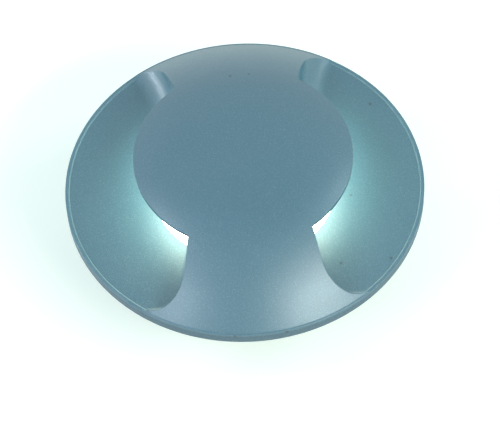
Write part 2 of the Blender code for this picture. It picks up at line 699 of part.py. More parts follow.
def side_reflector():
    """Spun aluminium cone that turns the light sideways, screwed to the cover's post."""
    apex = REFLECTOR_APEX_Z
    rim = COVER_Z + dome_height(REFLECTOR_RADIUS) - CAP_THICKNESS - REFLECTOR_SHEET - CLEARANCE
    lower = []
    for s in share(REFLECTOR_RINGS):
        radius = REFLECTOR_APEX_RADIUS + (REFLECTOR_RADIUS - REFLECTOR_APEX_RADIUS) * s
        bow = REFLECTOR_BOW * math.sin(s * HALF_TURN)
        lower.append((radius, apex + (rim - apex) * s - bow))
    upper = [(radius, height + REFLECTOR_SHEET) for radius, height in lower]
    outline = [(SCREW_HOLE_RADIUS, apex + REFLECTOR_SHEET)] + upper + list(reversed(lower))
    outline.append((SCREW_HOLE_RADIUS, apex))
    return turned("side_reflector", outline, BODY_STEPS, CAST_ALUMINIUM, closed=True)


def screw_outline(length, countersunk):
    """Outline of a screw standing on its head: head at the origin, thread upwards."""
    tip = (0, length)
    socket = [(SCREW_SOCKET_RADIUS, 0), (SCREW_SOCKET_RADIUS, SCREW_SOCKET_DEPTH),
              (0, SCREW_SOCKET_DEPTH)]
    neck = length - SCREW_RADIUS / 2
    shank = [(SCREW_RADIUS * SCREW_TIP_SHARE, length), (SCREW_RADIUS, neck)]
    shank.append((SCREW_RADIUS, SCREW_HEAD_HEIGHT))
    if countersunk:
        head = [(SCREW_HEAD_RADIUS, 0)]
    else:
        head = [(SCREW_HEAD_RADIUS, SCREW_HEAD_HEIGHT), (SCREW_HEAD_RADIUS, 0)]
    return [tip] + shank + head + socket


def screw(name, place, length, head_down, countersunk=False, material=None):
    """A screw whose head's outer face is centred at place."""
    obj = turned(name, screw_outline(length, countersunk), SCREW_STEPS, material or STEEL)
    obj.location = place
    if not head_down:
        obj.rotation_euler.x = HALF_TURN
    return obj


def countersink(name, x, y, low, high):
    """A countersunk through hole whose wide end faces down."""
    wide = SCREW_HEAD_HOLE_RADIUS
    outline = [(0, high), (SCREW_HOLE_RADIUS, high), (SCREW_HOLE_RADIUS, low + SCREW_HEAD_HEIGHT),
               (wide, low), (wide, low - OVERRUN), (0, low - OVERRUN)]
    obj = turned(name, outline, SCREW_STEPS, None)
    obj.location = (x, y, 0)
    return obj


def heat_spreader():
    """Aluminium plate that carries the LED board on the housing flange."""
    body = cylinder("heat_spreader", SPREADER_RADIUS, (0, 0, SPREADER_Z), (0, 0, SPREADER_TOP_Z),
                    CAST_ALUMINIUM, BODY_STEPS)
    return cut(body, *board_holes("spreader", SPREADER_Z, SPREADER_TOP_Z))


def board_holes(name, low, high):
    """The lead hole and the two screw holes through a plate of the LED module."""
    cutters = [cylinder(f"{name}_lead_hole", LEAD_HOLE_RADIUS, (0, 0, low - OVERRUN),
                        (0, 0, high + OVERRUN), None)]
    for side, y in (("front", -BOSS_CIRCLE), ("back", BOSS_CIRCLE)):
        cutters.append(cylinder(f"{name}_hole_{side}", SCREW_HOLE_RADIUS, (0, y, low - OVERRUN),
                                (0, y, high + OVERRUN), None, SCREW_STEPS))
    return cutters


def led_board():
    """Round metal-core board."""
    body = cylinder("led_board", BOARD_RADIUS, (0, 0, BOARD_Z), (0, 0, BOARD_TOP_Z),
                    BOARD_WHITE, BODY_STEPS)
    return cut(body, *board_holes("board", BOARD_Z, BOARD_TOP_Z))


def led_strip(name, middle):
    """Arc of chip-on-board LEDs that faces one window."""
    angles = [middle + LED_STRIP_HALF_ANGLE * (2 * s - 1) for s in share(LED_STRIP_STEPS)]
    outline = [polar(LED_STRIP_OUTER, a) for a in angles]
    outline += [polar(LED_STRIP_INNER, a) for a in reversed(angles)]
    return slab(name, outline, LED_STRIP_Z, LED_STRIP_Z + LED_STRIP_HEIGHT, PHOSPHOR)


def housing_outline():
    """The pot's outline, from its floor up the inside, over the flange and down the outside."""
    inner = POT_RADIUS
    foot = HOUSING_RADIUS - HOUSING_DRAFT
    outline = [(0, HOUSING_FLOOR_Z), (inner, HOUSING_FLOOR_Z), (inner, FLANGE_TOP_Z)]
    outline += [(FLANGE_RADIUS, FLANGE_TOP_Z), (FLANGE_RADIUS, FLANGE_BOTTOM_Z)]
    outline += [(HOUSING_RADIUS, FLANGE_BOTTOM_Z), (foot, HOUSING_BOTTOM_Z + HOUSING_DRAFT)]
    return outline + [(foot - HOUSING_DRAFT, HOUSING_BOTTOM_Z), (0, HOUSING_BOTTOM_Z)]


def housing_ribs():
    """Cooling ribs on the front and back of the pot, as one mesh of separate blades."""
    bm = bmesh.new()
    inner = HOUSING_RADIUS - HOUSING_WALL / 2
    low = HOUSING_BOTTOM_Z + RIB_STOP
    high = FLANGE_BOTTOM_Z + FLANGE_THICKNESS / 2
    size = (RIB_RADIUS - inner, RIB_THICKNESS, high - low)
    middle = Vector(((RIB_RADIUS + inner) / 2, 0, (low + high) / 2))
    for centre in (QUARTER_TURN, -QUARTER_TURN):
        for index in range(RIB_COUNT):
            angle = centre + (index - (RIB_COUNT - 1) / 2) * RIB_PITCH
            made = bmesh.ops.create_cube(bm, size=1)
            place = Matrix.Rotation(angle, 4, "Z") @ Matrix.Translation(middle)
            bmesh.ops.transform(bm, matrix=place @ Matrix.Diagonal((*size, 1)), verts=made["verts"])
    return mesh_from("housing_ribs", bm, None)


def housing_bosses():
    """Two screw bosses inside the pot, one on each side of the board."""
    bosses = []
    low = FLANGE_TOP_Z - BOSS_LENGTH
    for side, y in (("front", -BOSS_CIRCLE), ("back", BOSS_CIRCLE)):
        bosses.append(cylinder(f"boss_{side}", BOSS_RADIUS, (0, y, low), (0, y, FLANGE_TOP_Z), None))
    return bosses


def housing():
    """Die-cast pot with flange, ribs, clip pads, bosses and the holes for what it carries."""
    body = turned("housing", housing_outline(), BODY_STEPS, CAST_ALUMINIUM)
    join(body, housing_ribs(), *housing_bosses())
    for side, name in ((-1, "left"), (1, "right")):
        low_x, high_x = sorted((side * (HOUSING_RADIUS - HOUSING_WALL / 2), side * PAD_REACH))
        join(body, box(f"clip_pad_{name}", (low_x, -PAD_HALF_WIDTH, HOUSING_BOTTOM_Z + RIB_STOP),
                       (high_x, PAD_HALF_WIDTH, FLANGE_BOTTOM_Z + FLANGE_THICKNESS / 2), None))
        for y in (-RIVET_Y, RIVET_Y):
            start = (side * (PAD_REACH + OVERRUN), y, RIVET_Z)
            end = (side * (PAD_REACH - RIVET_LENGTH), y, RIVET_Z)
            cut(body, cylinder(f"rivet_hole_{name}_{y > 0:d}", RIVET_HOLE_RADIUS, start, end,
                               None, SCREW_STEPS))
    for index, (x, y) in enumerate(cover_screw_places()):
        cut(body, countersink(f"flange_hole_{index + 1}", x, y, FLANGE_BOTTOM_Z,
                              FLANGE_TOP_Z + OVERRUN))
    for side, y in (("front", -BOSS_CIRCLE), ("back", BOSS_CIRCLE)):
        low = BOARD_TOP_Z + SCREW_HEAD_HEIGHT - BOARD_SCREW_LENGTH
        cut(body, cylinder(f"boss_hole_{side}", SCREW_HOLE_RADIUS, (0, y, low),
                           (0, y, FLANGE_TOP_Z + OVERRUN), None, SCREW_STEPS))
    cut(body, cylinder("gland_hole", GLAND_THREAD_RADIUS + CLEARANCE,
                       (0, GLAND_Y, HOUSING_BOTTOM_Z - OVERRUN),
                       (0, GLAND_Y, HOUSING_FLOOR_Z + OVERRUN), None, BODY_STEPS // 2))
    floor_screws = driver_screw_places() + [(EARTH_X, EARTH_Y)]
    for index, (x, y) in enumerate(floor_screws):
        cut(body, cylinder(f"floor_hole_{index + 1}", SCREW_HOLE_RADIUS,
                           (x, y, HOUSING_FLOOR_Z - HOUSING_FLOOR / 2),
                           (x, y, HOUSING_FLOOR_Z + OVERRUN), None, SCREW_STEPS))
    return body


def driver_screw_places():
    """Plan positions of the two screws through the driver's end tabs."""
    reach = DRIVER_LENGTH / 2 + DRIVER_TAB / 2
    return [(-reach, DRIVER_Y), (reach, DRIVER_Y)]


def driver_case():
    """Plastic driver case with a screw tab at each end."""
    half = DRIVER_LENGTH / 2
    body = box("driver_case", (-half, DRIVER_Y - DRIVER_WIDTH / 2, DRIVER_Z),
               (half, DRIVER_Y + DRIVER_WIDTH / 2, DRIVER_TOP_Z), BLACK_PLASTIC, DRIVER_EDGE)
    reach = half + DRIVER_TAB
    join(body, box("driver_tabs", (-reach, DRIVER_Y - DRIVER_TAB / 2, DRIVER_Z),
                   (reach, DRIVER_Y + DRIVER_TAB / 2, DRIVER_Z + DRIVER_TAB_THICKNESS), None))
    for index, (x, y) in enumerate(driver_screw_places()):
        cut(body, cylinder(f"driver_hole_{index + 1}", SCREW_HOLE_RADIUS, (x, y, DRIVER_Z - OVERRUN),
                           (x, y, DRIVER_Z + DRIVER_TAB_THICKNESS + OVERRUN), None, SCREW_STEPS))
    return body


def driver_lid():
    """Lid plate on top of the driver case."""
    inset = DRIVER_EDGE
    half = DRIVER_LENGTH / 2 - inset
    wide = DRIVER_WIDTH / 2 - inset
    low = DRIVER_TOP_Z + CLEARANCE
    return box("driver_lid", (-half, DRIVER_Y - wide, low), (half, DRIVER_Y + wide, low + DRIVER_LID),
               WHITE_PLASTIC)


def terminal_block():
    """Two-pole block on the housing floor, with a wire port for each pole."""
    body = box("terminal_block", (BLOCK_X - BLOCK_LENGTH / 2, BLOCK_Y - BLOCK_WIDTH / 2, BLOCK_Z),
               (BLOCK_X + BLOCK_LENGTH / 2, BLOCK_Y + BLOCK_WIDTH / 2, BLOCK_Z + BLOCK_HEIGHT),
               WHITE_PLASTIC, BLOCK_EDGE)
    top = BLOCK_Z + BLOCK_HEIGHT
    for index, x in enumerate(port_places()):
        cut(body, cylinder(f"port_{index + 1}", BLOCK_PORT_RADIUS, (x, BLOCK_Y, top - BLOCK_PORT_DEPTH),
                           (x, BLOCK_Y, top + OVERRUN), None, SCREW_STEPS))
    return body


def port_places():
    """Where the two ports lie along the terminal block."""
    return [BLOCK_X - BLOCK_PITCH / 2, BLOCK_X + BLOCK_PITCH / 2]


def arc_points(start, end, top):
    """Points of a lead that rises from one place, bows over and drops into another."""
    start = Vector(start)
    end = Vector(end)
    points = []
    for s in share(LEAD_POINTS - 1):
        place = start.lerp(end, (1 - math.cos(s * HALF_TURN)) / 2)
        rise = top - (start.z + (end.z - start.z) * s)
        points.append((place.x, place.y, start.z + (end.z - start.z) * s
                       + rise * math.sin(s * HALF_TURN)))
    return points


def mains_leads():
    """Live and neutral leads from the terminal block to the driver."""
    port_z = BLOCK_Z + BLOCK_HEIGHT - BLOCK_PORT_DEPTH / 2
    bow = SPREADER_Z - LEAD_RADIUS * 3
    names = ("mains_lead_live", "mains_lead_neutral")
    for name, x, material in zip(names, port_places(), (BROWN_LEAD, BLUE_LEAD)):
        driver_x = x - BLOCK_X + DRIVER_LENGTH * DRIVER_MAINS_SHARE
        wire(name, arc_points((x, BLOCK_Y, port_z), (driver_x, DRIVER_Y, LID_TOP_Z + CLEARANCE), bow),
             LEAD_RADIUS, material)


def earth_lead():
    """Earth lead from the driver to the earth screw in the housing floor."""
    reach = SCREW_HEAD_RADIUS + LEAD_RADIUS + CLEARANCE * 2
    foot = (EARTH_X, EARTH_Y - reach, HOUSING_FLOOR_Z + CLEARANCE * 2)
    driver_x = -DRIVER_LENGTH * DRIVER_MAINS_SHARE
    bow = SPREADER_Z - LEAD_RADIUS * 3
    wire("earth_lead", arc_points(foot, (driver_x, DRIVER_Y, LID_TOP_Z + CLEARANCE), bow),
         LEAD_RADIUS, GREEN_LEAD)


def led_leads():
    """Leads that climb from the driver through the board's hole and lie down on the board."""
    names = ("led_lead_positive", "led_lead_negative")
    on_board = BOARD_TOP_Z + CLEARANCE + LEAD_RADIUS
    for name, side, material in zip(names, (-1, 1), (RED_LEAD, BLACK_LEAD)):
        reach = side * LEAD_HOLE_RADIUS
        start = Vector((reach * LEAD_ABOVE_LID_SHARE, DRIVER_Y, LID_TOP_Z + LEAD_RADIUS + CLEARANCE))
        middle = Vector((reach * LEAD_IN_HOLE_SHARE, 0, BOARD_Z))
        end = Vector((reach * LEAD_BEND_SHARE, 0, on_board + LEAD_RADIUS))
        points = quarter_bend(middle, start)[::-1] + quarter_bend(middle, end)[1:]
        points.append((reach * LEAD_END_SHARE, 0, on_board))
        wire(name, points, LEAD_RADIUS, material)


def quarter_bend(start, end):
    """Points from start to end on a quarter of an ellipse that leaves start along Z."""
    points = []
    for s in share(LEAD_POINTS // 2):
        away = 1 - math.cos(s * QUARTER_TURN)
        along = math.sin(s * QUARTER_TURN)
        points.append((start.x + (end.x - start.x) * away, start.y + (end.y - start.y) * away,
                       start.z + (end.z - start.z) * along))
    return points


def all_screws():
    """Every screw in its hole."""
    for index, (x, y) in enumerate(cover_screw_places()):
        screw(f"cover_screw_{index + 1}", (x, y, FLANGE_BOTTOM_Z), COVER_SCREW_LENGTH, True, True)
    top = BOARD_TOP_Z + CLEARANCE + SCREW_HEAD_HEIGHT
    for side, y in (("front", -BOSS_CIRCLE), ("back", BOSS_CIRCLE)):
        screw(f"board_screw_{side}", (0, y, top), BOARD_SCREW_LENGTH, False)
    below_apex = REFLECTOR_APEX_Z - CLEARANCE - SCREW_HEAD_HEIGHT
    screw("reflector_screw", (0, 0, below_apex), REFLECTOR_SCREW_LENGTH, True)
    on_tab = DRIVER_Z + DRIVER_TAB_THICKNESS + CLEARANCE + SCREW_HEAD_HEIGHT
    for index, (x, y) in enumerate(driver_screw_places()):
        screw(f"driver_screw_{index + 1}", (x, y, on_tab), DRIVER_SCREW_LENGTH, False)
    screw("earth_screw", (EARTH_X, EARTH_Y, HOUSING_FLOOR_Z + CLEARANCE + SCREW_HEAD_HEIGHT),
          EARTH_SCREW_LENGTH, False, material=BRASS)


def at_gland(obj):
    """Move a piece made about the origin's axis to the gland's axis."""
    obj.location.y += GLAND_Y
    return obj


def gland_body():
    """Threaded gland tube with its hexagon, through the housing floor."""
    top = HOUSING_FLOOR_Z + CLEARANCE + LOCKNUT_HEIGHT + GLAND_THREAD_SHOWS
    low = GLAND_HEX_BOTTOM_Z - GLAND_NECK_LENGTH
    body = cylinder("gland_body", GLAND_THREAD_RADIUS, (0, 0, low), (0, 0, top), BRASS, BODY_STEPS // 2)
    hexagon = cylinder("gland_hexagon", GLAND_HEX_RADIUS, (0, 0, GLAND_HEX_BOTTOM_Z),
                       (0, 0, GLAND_HEX_TOP_Z), None, GLAND_NUT_FLATS)
    bore = cylinder("gland_bore", GLAND_BORE_RADIUS, (0, 0, low - OVERRUN), (0, 0, top + OVERRUN),
                    None, BODY_STEPS // 2)
    at_gland(hexagon)
    at_gland(bore)
    return cut(join(at_gland(body), hexagon), bore)


def gland_washer():
    """Rubber washer between the gland's hexagon and the housing."""
    inner = GLAND_THREAD_RADIUS + CLEARANCE
    low = GLAND_WASHER_Z - GLAND_WASHER_THICKNESS
    return at_gland(turned("gland_washer", ring(inner, GLAND_WASHER_RADIUS, low, GLAND_WASHER_Z),
                           BODY_STEPS // 2, RUBBER, closed=True))


def gland_locknut():
    """Thin hexagon nut on the gland's thread, inside the housing."""
    low = HOUSING_FLOOR_Z + CLEARANCE
    nut = cylinder("gland_locknut", LOCKNUT_RADIUS, (0, 0, low), (0, 0, low + LOCKNUT_HEIGHT),
                   BRASS, GLAND_NUT_FLATS)
    bore = cylinder("locknut_bore", GLAND_THREAD_RADIUS + CLEARANCE, (0, 0, low - OVERRUN),
                    (0, 0, low + LOCKNUT_HEIGHT + OVERRUN), None, BODY_STEPS // 2)
    at_gland(bore)
    return cut(at_gland(nut), bore)


def gland_grommet():
    """Rubber sleeve that the nut squeezes onto the cable."""
    neck_end = GLAND_HEX_BOTTOM_Z - GLAND_NECK_LENGTH
    top = neck_end + GROMMET_LENGTH
    outer = GLAND_BORE_RADIUS - CLEARANCE
    flange_top = neck_end - CLEARANCE
    flange_low = flange_top - GROMMET_FLANGE
    outline = [(GROMMET_BORE_RADIUS, top), (outer, top), (outer, flange_top)]
    outline += [(GLAND_THREAD_RADIUS, flange_top), (GLAND_THREAD_RADIUS, flange_low)]
    outline += [(GROMMET_BORE_RADIUS, flange_low)]
    return at_gland(turned("gland_grommet", outline, BODY_STEPS // 2, RUBBER, closed=True))


def gland_nut():
    """Domed hexagon nut below the gland body, with the cable's mouth."""
    length = GLAND_NUT_LENGTH
    outer = GLAND_NUT_RADIUS
    nut = cylinder("gland_nut", outer, (0, 0, -length), (0, 0, 0), BRASS, GLAND_NUT_FLATS)
    dome = [(0, OVERRUN), (outer, OVERRUN)]
    dome += [(outer * across, -length * down) for across, down in GLAND_DOME_SHARES]
    dome.append((0, -length))
    shape = turned("gland_nut_dome", dome, BODY_STEPS // 2, None)
    bore = [(0, OVERRUN), (GLAND_THREAD_RADIUS + CLEARANCE, OVERRUN)]
    bore += [(GLAND_THREAD_RADIUS + CLEARANCE, GLAND_NUT_LIP - length)]
    bore += [(GLAND_MOUTH_RADIUS, GLAND_NUT_LIP - length), (GLAND_MOUTH_RADIUS, -length - OVERRUN)]
    bore += [(0, -length - OVERRUN)]
    hollow = turned("gland_nut_hollow", bore, BODY_STEPS // 2, None)
    for obj in (nut, shape, hollow):
        obj.location.z = GLAND_NUT_TOP_Z
        at_gland(obj)
    combine(nut, shape, "INTERSECT")
    return cut(nut, hollow)


def side_slab(name, outline, side, low_y, high_y, material):
    """An outline of (distance from the pin, height) points made solid along Y at a clip's pin."""
    flat = slab(name, [(side * x, z) for x, z in outline], -high_y, -low_y, material)
    middle_y = (low_y + high_y) / 2
    flat.rotation_euler.x = QUARTER_TURN
    flat.location = (side * PIN_X, middle_y, PIN_Z)
    return flat


def span(side, near, far, half, low, high):
    """Two corners of a box that lies between two distances from the axis on one side."""
    low_x, high_x = sorted((side * near, side * far))
    return (low_x, -half, low), (high_x, half, high)


def bracket_ear(name, side, where):
    """One ear of a bracket: straight at its root, rounded about the pin."""
    root = BRACKET_X + CLIP_SHEET / 2 - PIN_X
    nose = BRACKET_EAR_REACH
    outline = [(root, -nose)]
    outline += [polar(nose, HALF_TURN * (s - 1 / 2)) for s in share(ARC_STEPS)]
    outline.append((root, BRACKET_EAR_ROOT - nose))
    low_y, high_y = sorted((where * (BRACKET_HALF_WIDTH - CLIP_SHEET), where * BRACKET_HALF_WIDTH))
    return side_slab(name, outline, side, low_y, high_y, None)


def clip_bracket(name, side):
    """Steel bracket on the housing's pad, with two ears for the pin."""
    near = BRACKET_X
    far = BRACKET_FACE_X
    half = BRACKET_HALF_WIDTH - BRACKET_EDGE_STEP
    plate = box(name, *span(side, near, far, half, BRACKET_FOOT_Z, BRACKET_TOP_Z), STEEL)
    join(plate, bracket_ear(f"{name}_ear_front", side, -1), bracket_ear(f"{name}_ear_back", side, 1))
    reach = BRACKET_HALF_WIDTH + OVERRUN
    cut(plate, cylinder(f"{name}_pin_hole", PIN_HOLE_RADIUS, (side * PIN_X, -reach, PIN_Z),
                        (side * PIN_X, reach, PIN_Z), None, SCREW_STEPS))
    for where, y in (("front", -RIVET_Y), ("back", RIVET_Y)):
        cut(plate, cylinder(f"{name}_rivet_hole_{where}", RIVET_HOLE_RADIUS,
                            (side * (near - OVERRUN), y, RIVET_Z), (side * (far + OVERRUN), y, RIVET_Z),
                            None, SCREW_STEPS))
    return plate


def arm_reach():
    """How far from the pin the arm's outer face may lie inside the sleeve's flats."""
    radius = SLEEVE_INNER_RADIUS * math.cos(HALF_TURN / BODY_STEPS) - CLEARANCE
    return math.sqrt(radius ** 2 - ARM_HALF_WIDTH ** 2) - PIN_X


def clip_arm(name, side):
    """Spring arm: a barrel on the pin, a leaning blade and a bent-in tip."""
    bump = arm_reach()
    root = ARM_BARREL_RADIUS
    outer = [(root, 0), (bump, ARM_BUMP_HEIGHT - CLIP_SHEET), (bump, ARM_BUMP_HEIGHT),
             (bump - CLIP_SHEET / 2, ARM_BUMP_HEIGHT + CLIP_SHEET),
             (bump - ARM_TIP_RETURN, ARM_TIP_HEIGHT)]
    inner = [(x - CLIP_SHEET, z) for x, z in reversed(outer)]
    blade = side_slab(name, outer + inner, side, -ARM_HALF_WIDTH, ARM_HALF_WIDTH, STEEL)
    half = ARM_HALF_WIDTH - BRACKET_EDGE_STEP
    barrel = cylinder(f"{name}_barrel", root, (side * PIN_X, -half, PIN_Z),
                      (side * PIN_X, half, PIN_Z), None)
    bore = cylinder(f"{name}_bore", PIN_HOLE_RADIUS, (side * PIN_X, -ARM_HALF_WIDTH - OVERRUN, PIN_Z),
                    (side * PIN_X, ARM_HALF_WIDTH + OVERRUN, PIN_Z), None, SCREW_STEPS)
    reach = root + OVERRUN
    low, high = span(side, PIN_X - reach, PIN_X + reach, 0, PIN_Z - reach, PIN_Z + ARM_NOTCH_HEIGHT)
    notch = box(f"{name}_notch", low, (high[0], ARM_HALF_WIDTH + OVERRUN, high[2]), None)
    return cut(join(blade, barrel), bore, notch)


def clip_pin(name, side):
    """Headed pin through the bracket's ears."""
    half = BRACKET_HALF_WIDTH + CLEARANCE + PIN_HEAD_THICKNESS
    neck = half - PIN_HEAD_THICKNESS
    outline = [(0, half), (PIN_HEAD_RADIUS, half), (PIN_HEAD_RADIUS, neck), (PIN_RADIUS, neck)]
    outline += [(radius, -height) for radius, height in reversed(outline)]
    pin = turned(name, outline, SCREW_STEPS, STEEL)
    pin.rotation_euler.x = QUARTER_TURN
    pin.location = (side * PIN_X, 0, PIN_Z)
    return pin


def clip_spring(name, side):
    """Torsion spring on the pin: one leg on the bracket, one behind the arm."""
    blade_lean = (arm_reach() - ARM_BARREL_RADIUS) / ARM_BUMP_HEIGHT
    blade_x = ARM_BARREL_RADIUS - CLIP_SHEET + blade_lean * SPRING_MOVING_LEG
    leg_end = Vector((blade_x - CLEARANCE * 2 - SPRING_WIRE_RADIUS, SPRING_MOVING_LEG))
    reach = leg_end.length
    end_angle = math.atan2(leg_end.y, leg_end.x) - math.acos(SPRING_COIL_RADIUS / reach)
    start = HALF_TURN
    sweep = FULL_TURN * SPRING_WHOLE_TURNS + HALF_TURN + end_angle
    steps = round(sweep / FULL_TURN * SPRING_POINTS_PER_TURN)
    first_y = CLEARANCE + SPRING_WIRE_RADIUS
    points = [(-SPRING_COIL_RADIUS, first_y, SPRING_FIXED_LEG)]
    for s in share(steps):
        x, z = polar(SPRING_COIL_RADIUS, start + sweep * s)
        points.append((x, first_y + SPRING_PITCH * sweep * s / FULL_TURN, z))
    last_y = first_y + SPRING_PITCH * sweep / FULL_TURN
    points.append((leg_end.x, last_y, leg_end.y))
    gap = least_gap(points[1:-1])
    print(f"{name}: least gap between turns {gap * MM_PER_METRE:.2f} mm")
    spring = wire(name, [(side * x, y, z) for x, y, z in points], SPRING_WIRE_RADIUS, STEEL, 1)
    spring.location = (side * PIN_X, 0, PIN_Z)
    return spring


def least_gap(points):
    """Least free space between turns of the coil, measured on its points."""
    gaps = []
    for index, a in enumerate(points):
        for b in points[index + SPRING_POINTS_PER_TURN // 2:]:
            gaps.append((Vector(a) - Vector(b)).length)
    return min(gaps) - SPRING_WIRE_RADIUS * 2


def clip_rivet(name, side, y):
    """Round-headed rivet that holds the bracket on its pad."""
    shank = RIVET_LENGTH + CLIP_SHEET + CLEARANCE
    outline = [(RIVET_HEAD_RADIUS * across, RIVET_HEAD_HEIGHT * up) for across, up in RIVET_HEAD_SHARES]
    outline += [(RIVET_RADIUS, 0), (RIVET_RADIUS, -shank), (0, -shank)]
    rivet = turned(name, outline, SCREW_STEPS, STEEL)
    rivet.rotation_euler.y = side * QUARTER_TURN
    rivet.location = (side * (BRACKET_FACE_X + CLEARANCE), y, RIVET_Z)
    return rivet


def spring_clips():
    """The two spring clips, left and right."""
    for side, where in ((-1, "left"), (1, "right")):
        clip_bracket(f"clip_bracket_{where}", side)
        clip_arm(f"clip_arm_{where}", side)
        clip_pin(f"clip_pin_{where}", side)
        clip_spring(f"clip_spring_{where}", side)
        clip_rivet(f"clip_rivet_{where}_front", side, -RIVET_Y)
        clip_rivet(f"clip_rivet_{where}_back", side, RIVET_Y)


def sleeve_outline():
    """The sleeve's outline, up the inside, over the collar and down outside."""
    top = COVER_Z - CLEARANCE
    step = FLANGE_BOTTOM_Z - CLEARANCE
    rebate = FLANGE_RADIUS + CLEARANCE * 2
    outer = SLEEVE_INNER_RADIUS + SLEEVE_WALL
    under = step - SLEEVE_STEP_THICKNESS
    outline = [(SLEEVE_INNER_RADIUS, 0), (SLEEVE_INNER_RADIUS, step), (rebate, step), (rebate, top)]
    outline += [(SLEEVE_COLLAR_RADIUS, top), (SLEEVE_COLLAR_RADIUS, under)]
    return outline + [(outer, under - (SLEEVE_COLLAR_RADIUS - outer) / 2), (outer, 0)]


def sleeve_ribs():
    """Upright ribs outside the sleeve that key it into the mortar, as separate blades."""
    outer = SLEEVE_INNER_RADIUS + SLEEVE_WALL
    low = SLEEVE_RIB_STOP
    high = FLANGE_BOTTOM_Z - SLEEVE_STEP_THICKNESS - SLEEVE_WALL
    size = (SLEEVE_RIB + SLEEVE_WALL / 2, SLEEVE_RIB_WIDTH, high - low)
    middle = Vector((outer + (SLEEVE_RIB - SLEEVE_WALL / 2) / 2, 0, (low + high) / 2))
    bm = bmesh.new()
    for index in range(SLEEVE_RIB_COUNT):
        angle = FULL_TURN * (index + 0.5) / SLEEVE_RIB_COUNT
        made = bmesh.ops.create_cube(bm, size=1)
        place = Matrix.Rotation(angle, 4, "Z") @ Matrix.Translation(middle)
        bmesh.ops.transform(bm, matrix=place @ Matrix.Diagonal((*size, 1)), verts=made["verts"])
    return mesh_from("sleeve_ribs", bm, None)


def recess_sleeve():
    """Plastic sleeve that is set in the floor."""
    body = turned("recess_sleeve", sleeve_outline(), BODY_STEPS, GREY_PLASTIC, closed=True)
    outer = SLEEVE_INNER_RADIUS + SLEEVE_WALL
    low = COVER_Z / 2 - KNOCKOUT_RADIUS
    join(body, sleeve_ribs())
    for side, name in ((-1, "left"), (1, "right")):
        join(body, cylinder(f"knockout_{name}", KNOCKOUT_RADIUS,
                            (side * (outer - SLEEVE_WALL / 2), 0, low + KNOCKOUT_RADIUS),
                            (side * (outer + KNOCKOUT_REACH), 0, low + KNOCKOUT_RADIUS), None))
    return body


def sleeve_floor():
    """Plate pressed into the foot of the sleeve, with the hole for the conduit."""
    plate = cylinder("sleeve_floor", SLEEVE_INNER_RADIUS - CLEARANCE, (0, 0, 0), (0, 0, SLEEVE_FLOOR),
                     GREY_PLASTIC, BODY_STEPS)
    return cut(plate, cylinder("conduit_hole", CONDUIT_HOLE_RADIUS, (0, GLAND_Y, -OVERRUN),
                               (0, GLAND_Y, SLEEVE_FLOOR + OVERRUN), None, BODY_STEPS // 2))


def main():
    """Build every piece."""
    recess_sleeve()
    sleeve_floor()
    housing()
    heat_spreader()
    led_board()
    led_strip("led_strip_left", HALF_TURN)
    led_strip("led_strip_right", 0)
    driver_case()
    driver_lid()
    terminal_block()
    mains_leads()
    earth_lead()
    led_leads()
    gland_body()
    gland_washer()
    gland_locknut()
    gland_grommet()
    gland_nut()
    spring_clips()
    diffuser()
    diffuser_seal()
    side_reflector()
    cover()
    all_screws()


main()
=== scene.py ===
import json
import math

import bpy
from mathutils import Matrix, Vector


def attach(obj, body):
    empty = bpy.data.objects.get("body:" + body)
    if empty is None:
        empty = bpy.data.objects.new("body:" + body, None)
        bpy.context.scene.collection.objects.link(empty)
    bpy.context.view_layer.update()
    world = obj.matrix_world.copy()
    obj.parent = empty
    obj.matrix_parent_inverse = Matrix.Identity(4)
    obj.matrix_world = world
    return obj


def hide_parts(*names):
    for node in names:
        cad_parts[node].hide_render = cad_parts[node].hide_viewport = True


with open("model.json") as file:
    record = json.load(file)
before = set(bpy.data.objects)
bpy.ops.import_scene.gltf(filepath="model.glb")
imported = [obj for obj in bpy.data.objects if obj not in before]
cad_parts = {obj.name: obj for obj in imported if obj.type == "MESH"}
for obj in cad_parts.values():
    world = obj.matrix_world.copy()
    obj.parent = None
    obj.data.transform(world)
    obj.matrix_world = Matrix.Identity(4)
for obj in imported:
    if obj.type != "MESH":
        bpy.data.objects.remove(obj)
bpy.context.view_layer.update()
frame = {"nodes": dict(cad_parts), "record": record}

MM = 0.001
FULL_TURN = math.radians(360)
QUARTER_TURN = math.radians(90)

# Steps of round forms, shading angles, and tolerances for merging and picking
ARC_STEPS = 24
HOLE_STEPS = 32
ROD_STEPS = 48
KNOCKOUT_STEPS = 72
ROUND_STEPS = 5
EDGE_STEPS = 3
MADE_DEGREES = 30
COPY_DEGREES = 35
MERGE_DISTANCE = 0.004 * MM
SAME_PLACE = 0.01 * MM
FACING = 0.9

# Cover sizes: the frame's, but for the lip and the wider back ends of the scoops
COVER_Z = 46.0 * MM
COVER_RADIUS = 75.0 * MM
RIM_HEIGHT = 4.9 * MM
RIM_SLOPE = 0.90
CAP_RADIUS = 45.2 * MM
CAP_EDGE_HEIGHT = 25.3 * MM
CAP_UNDERSIDE_Z = 69.8 * MM
CROWN_HEIGHT = 31.5 * MM
CROWN_POWER = 3.4
COVER_TOP_Z = COVER_Z + CROWN_HEIGHT
BELOW_COVER_Z = COVER_Z - 2 * MM
CAP_THICKNESS = 2.6 * MM
WINDOW_RADIUS = 38.55 * MM
SEAT_RADIUS = 41.5 * MM
SEAT_Z = 48.8 * MM
LAND_RADIUS = 53.0 * MM
LAND_HEIGHT = 0.2 * MM
FLOOR_Z = 50.6 * MM
POST_RADIUS = 3.6 * MM
POST_END_Z = 56.6 * MM
SCOOP_SIDE_X = 25.6 * MM
SCOOP_SIDE_Y = 40.5 * MM
SCOOP_SIDE_ANGLE = math.radians(78)
SCOOP_HALF_WIDTH = 60.6 * MM
SCOOP_CORNER_RADIUS = 12.3 * MM
SCOOP_NEAR_X = 21.4 * MM
SCOOP_FAR_X = 81.0 * MM
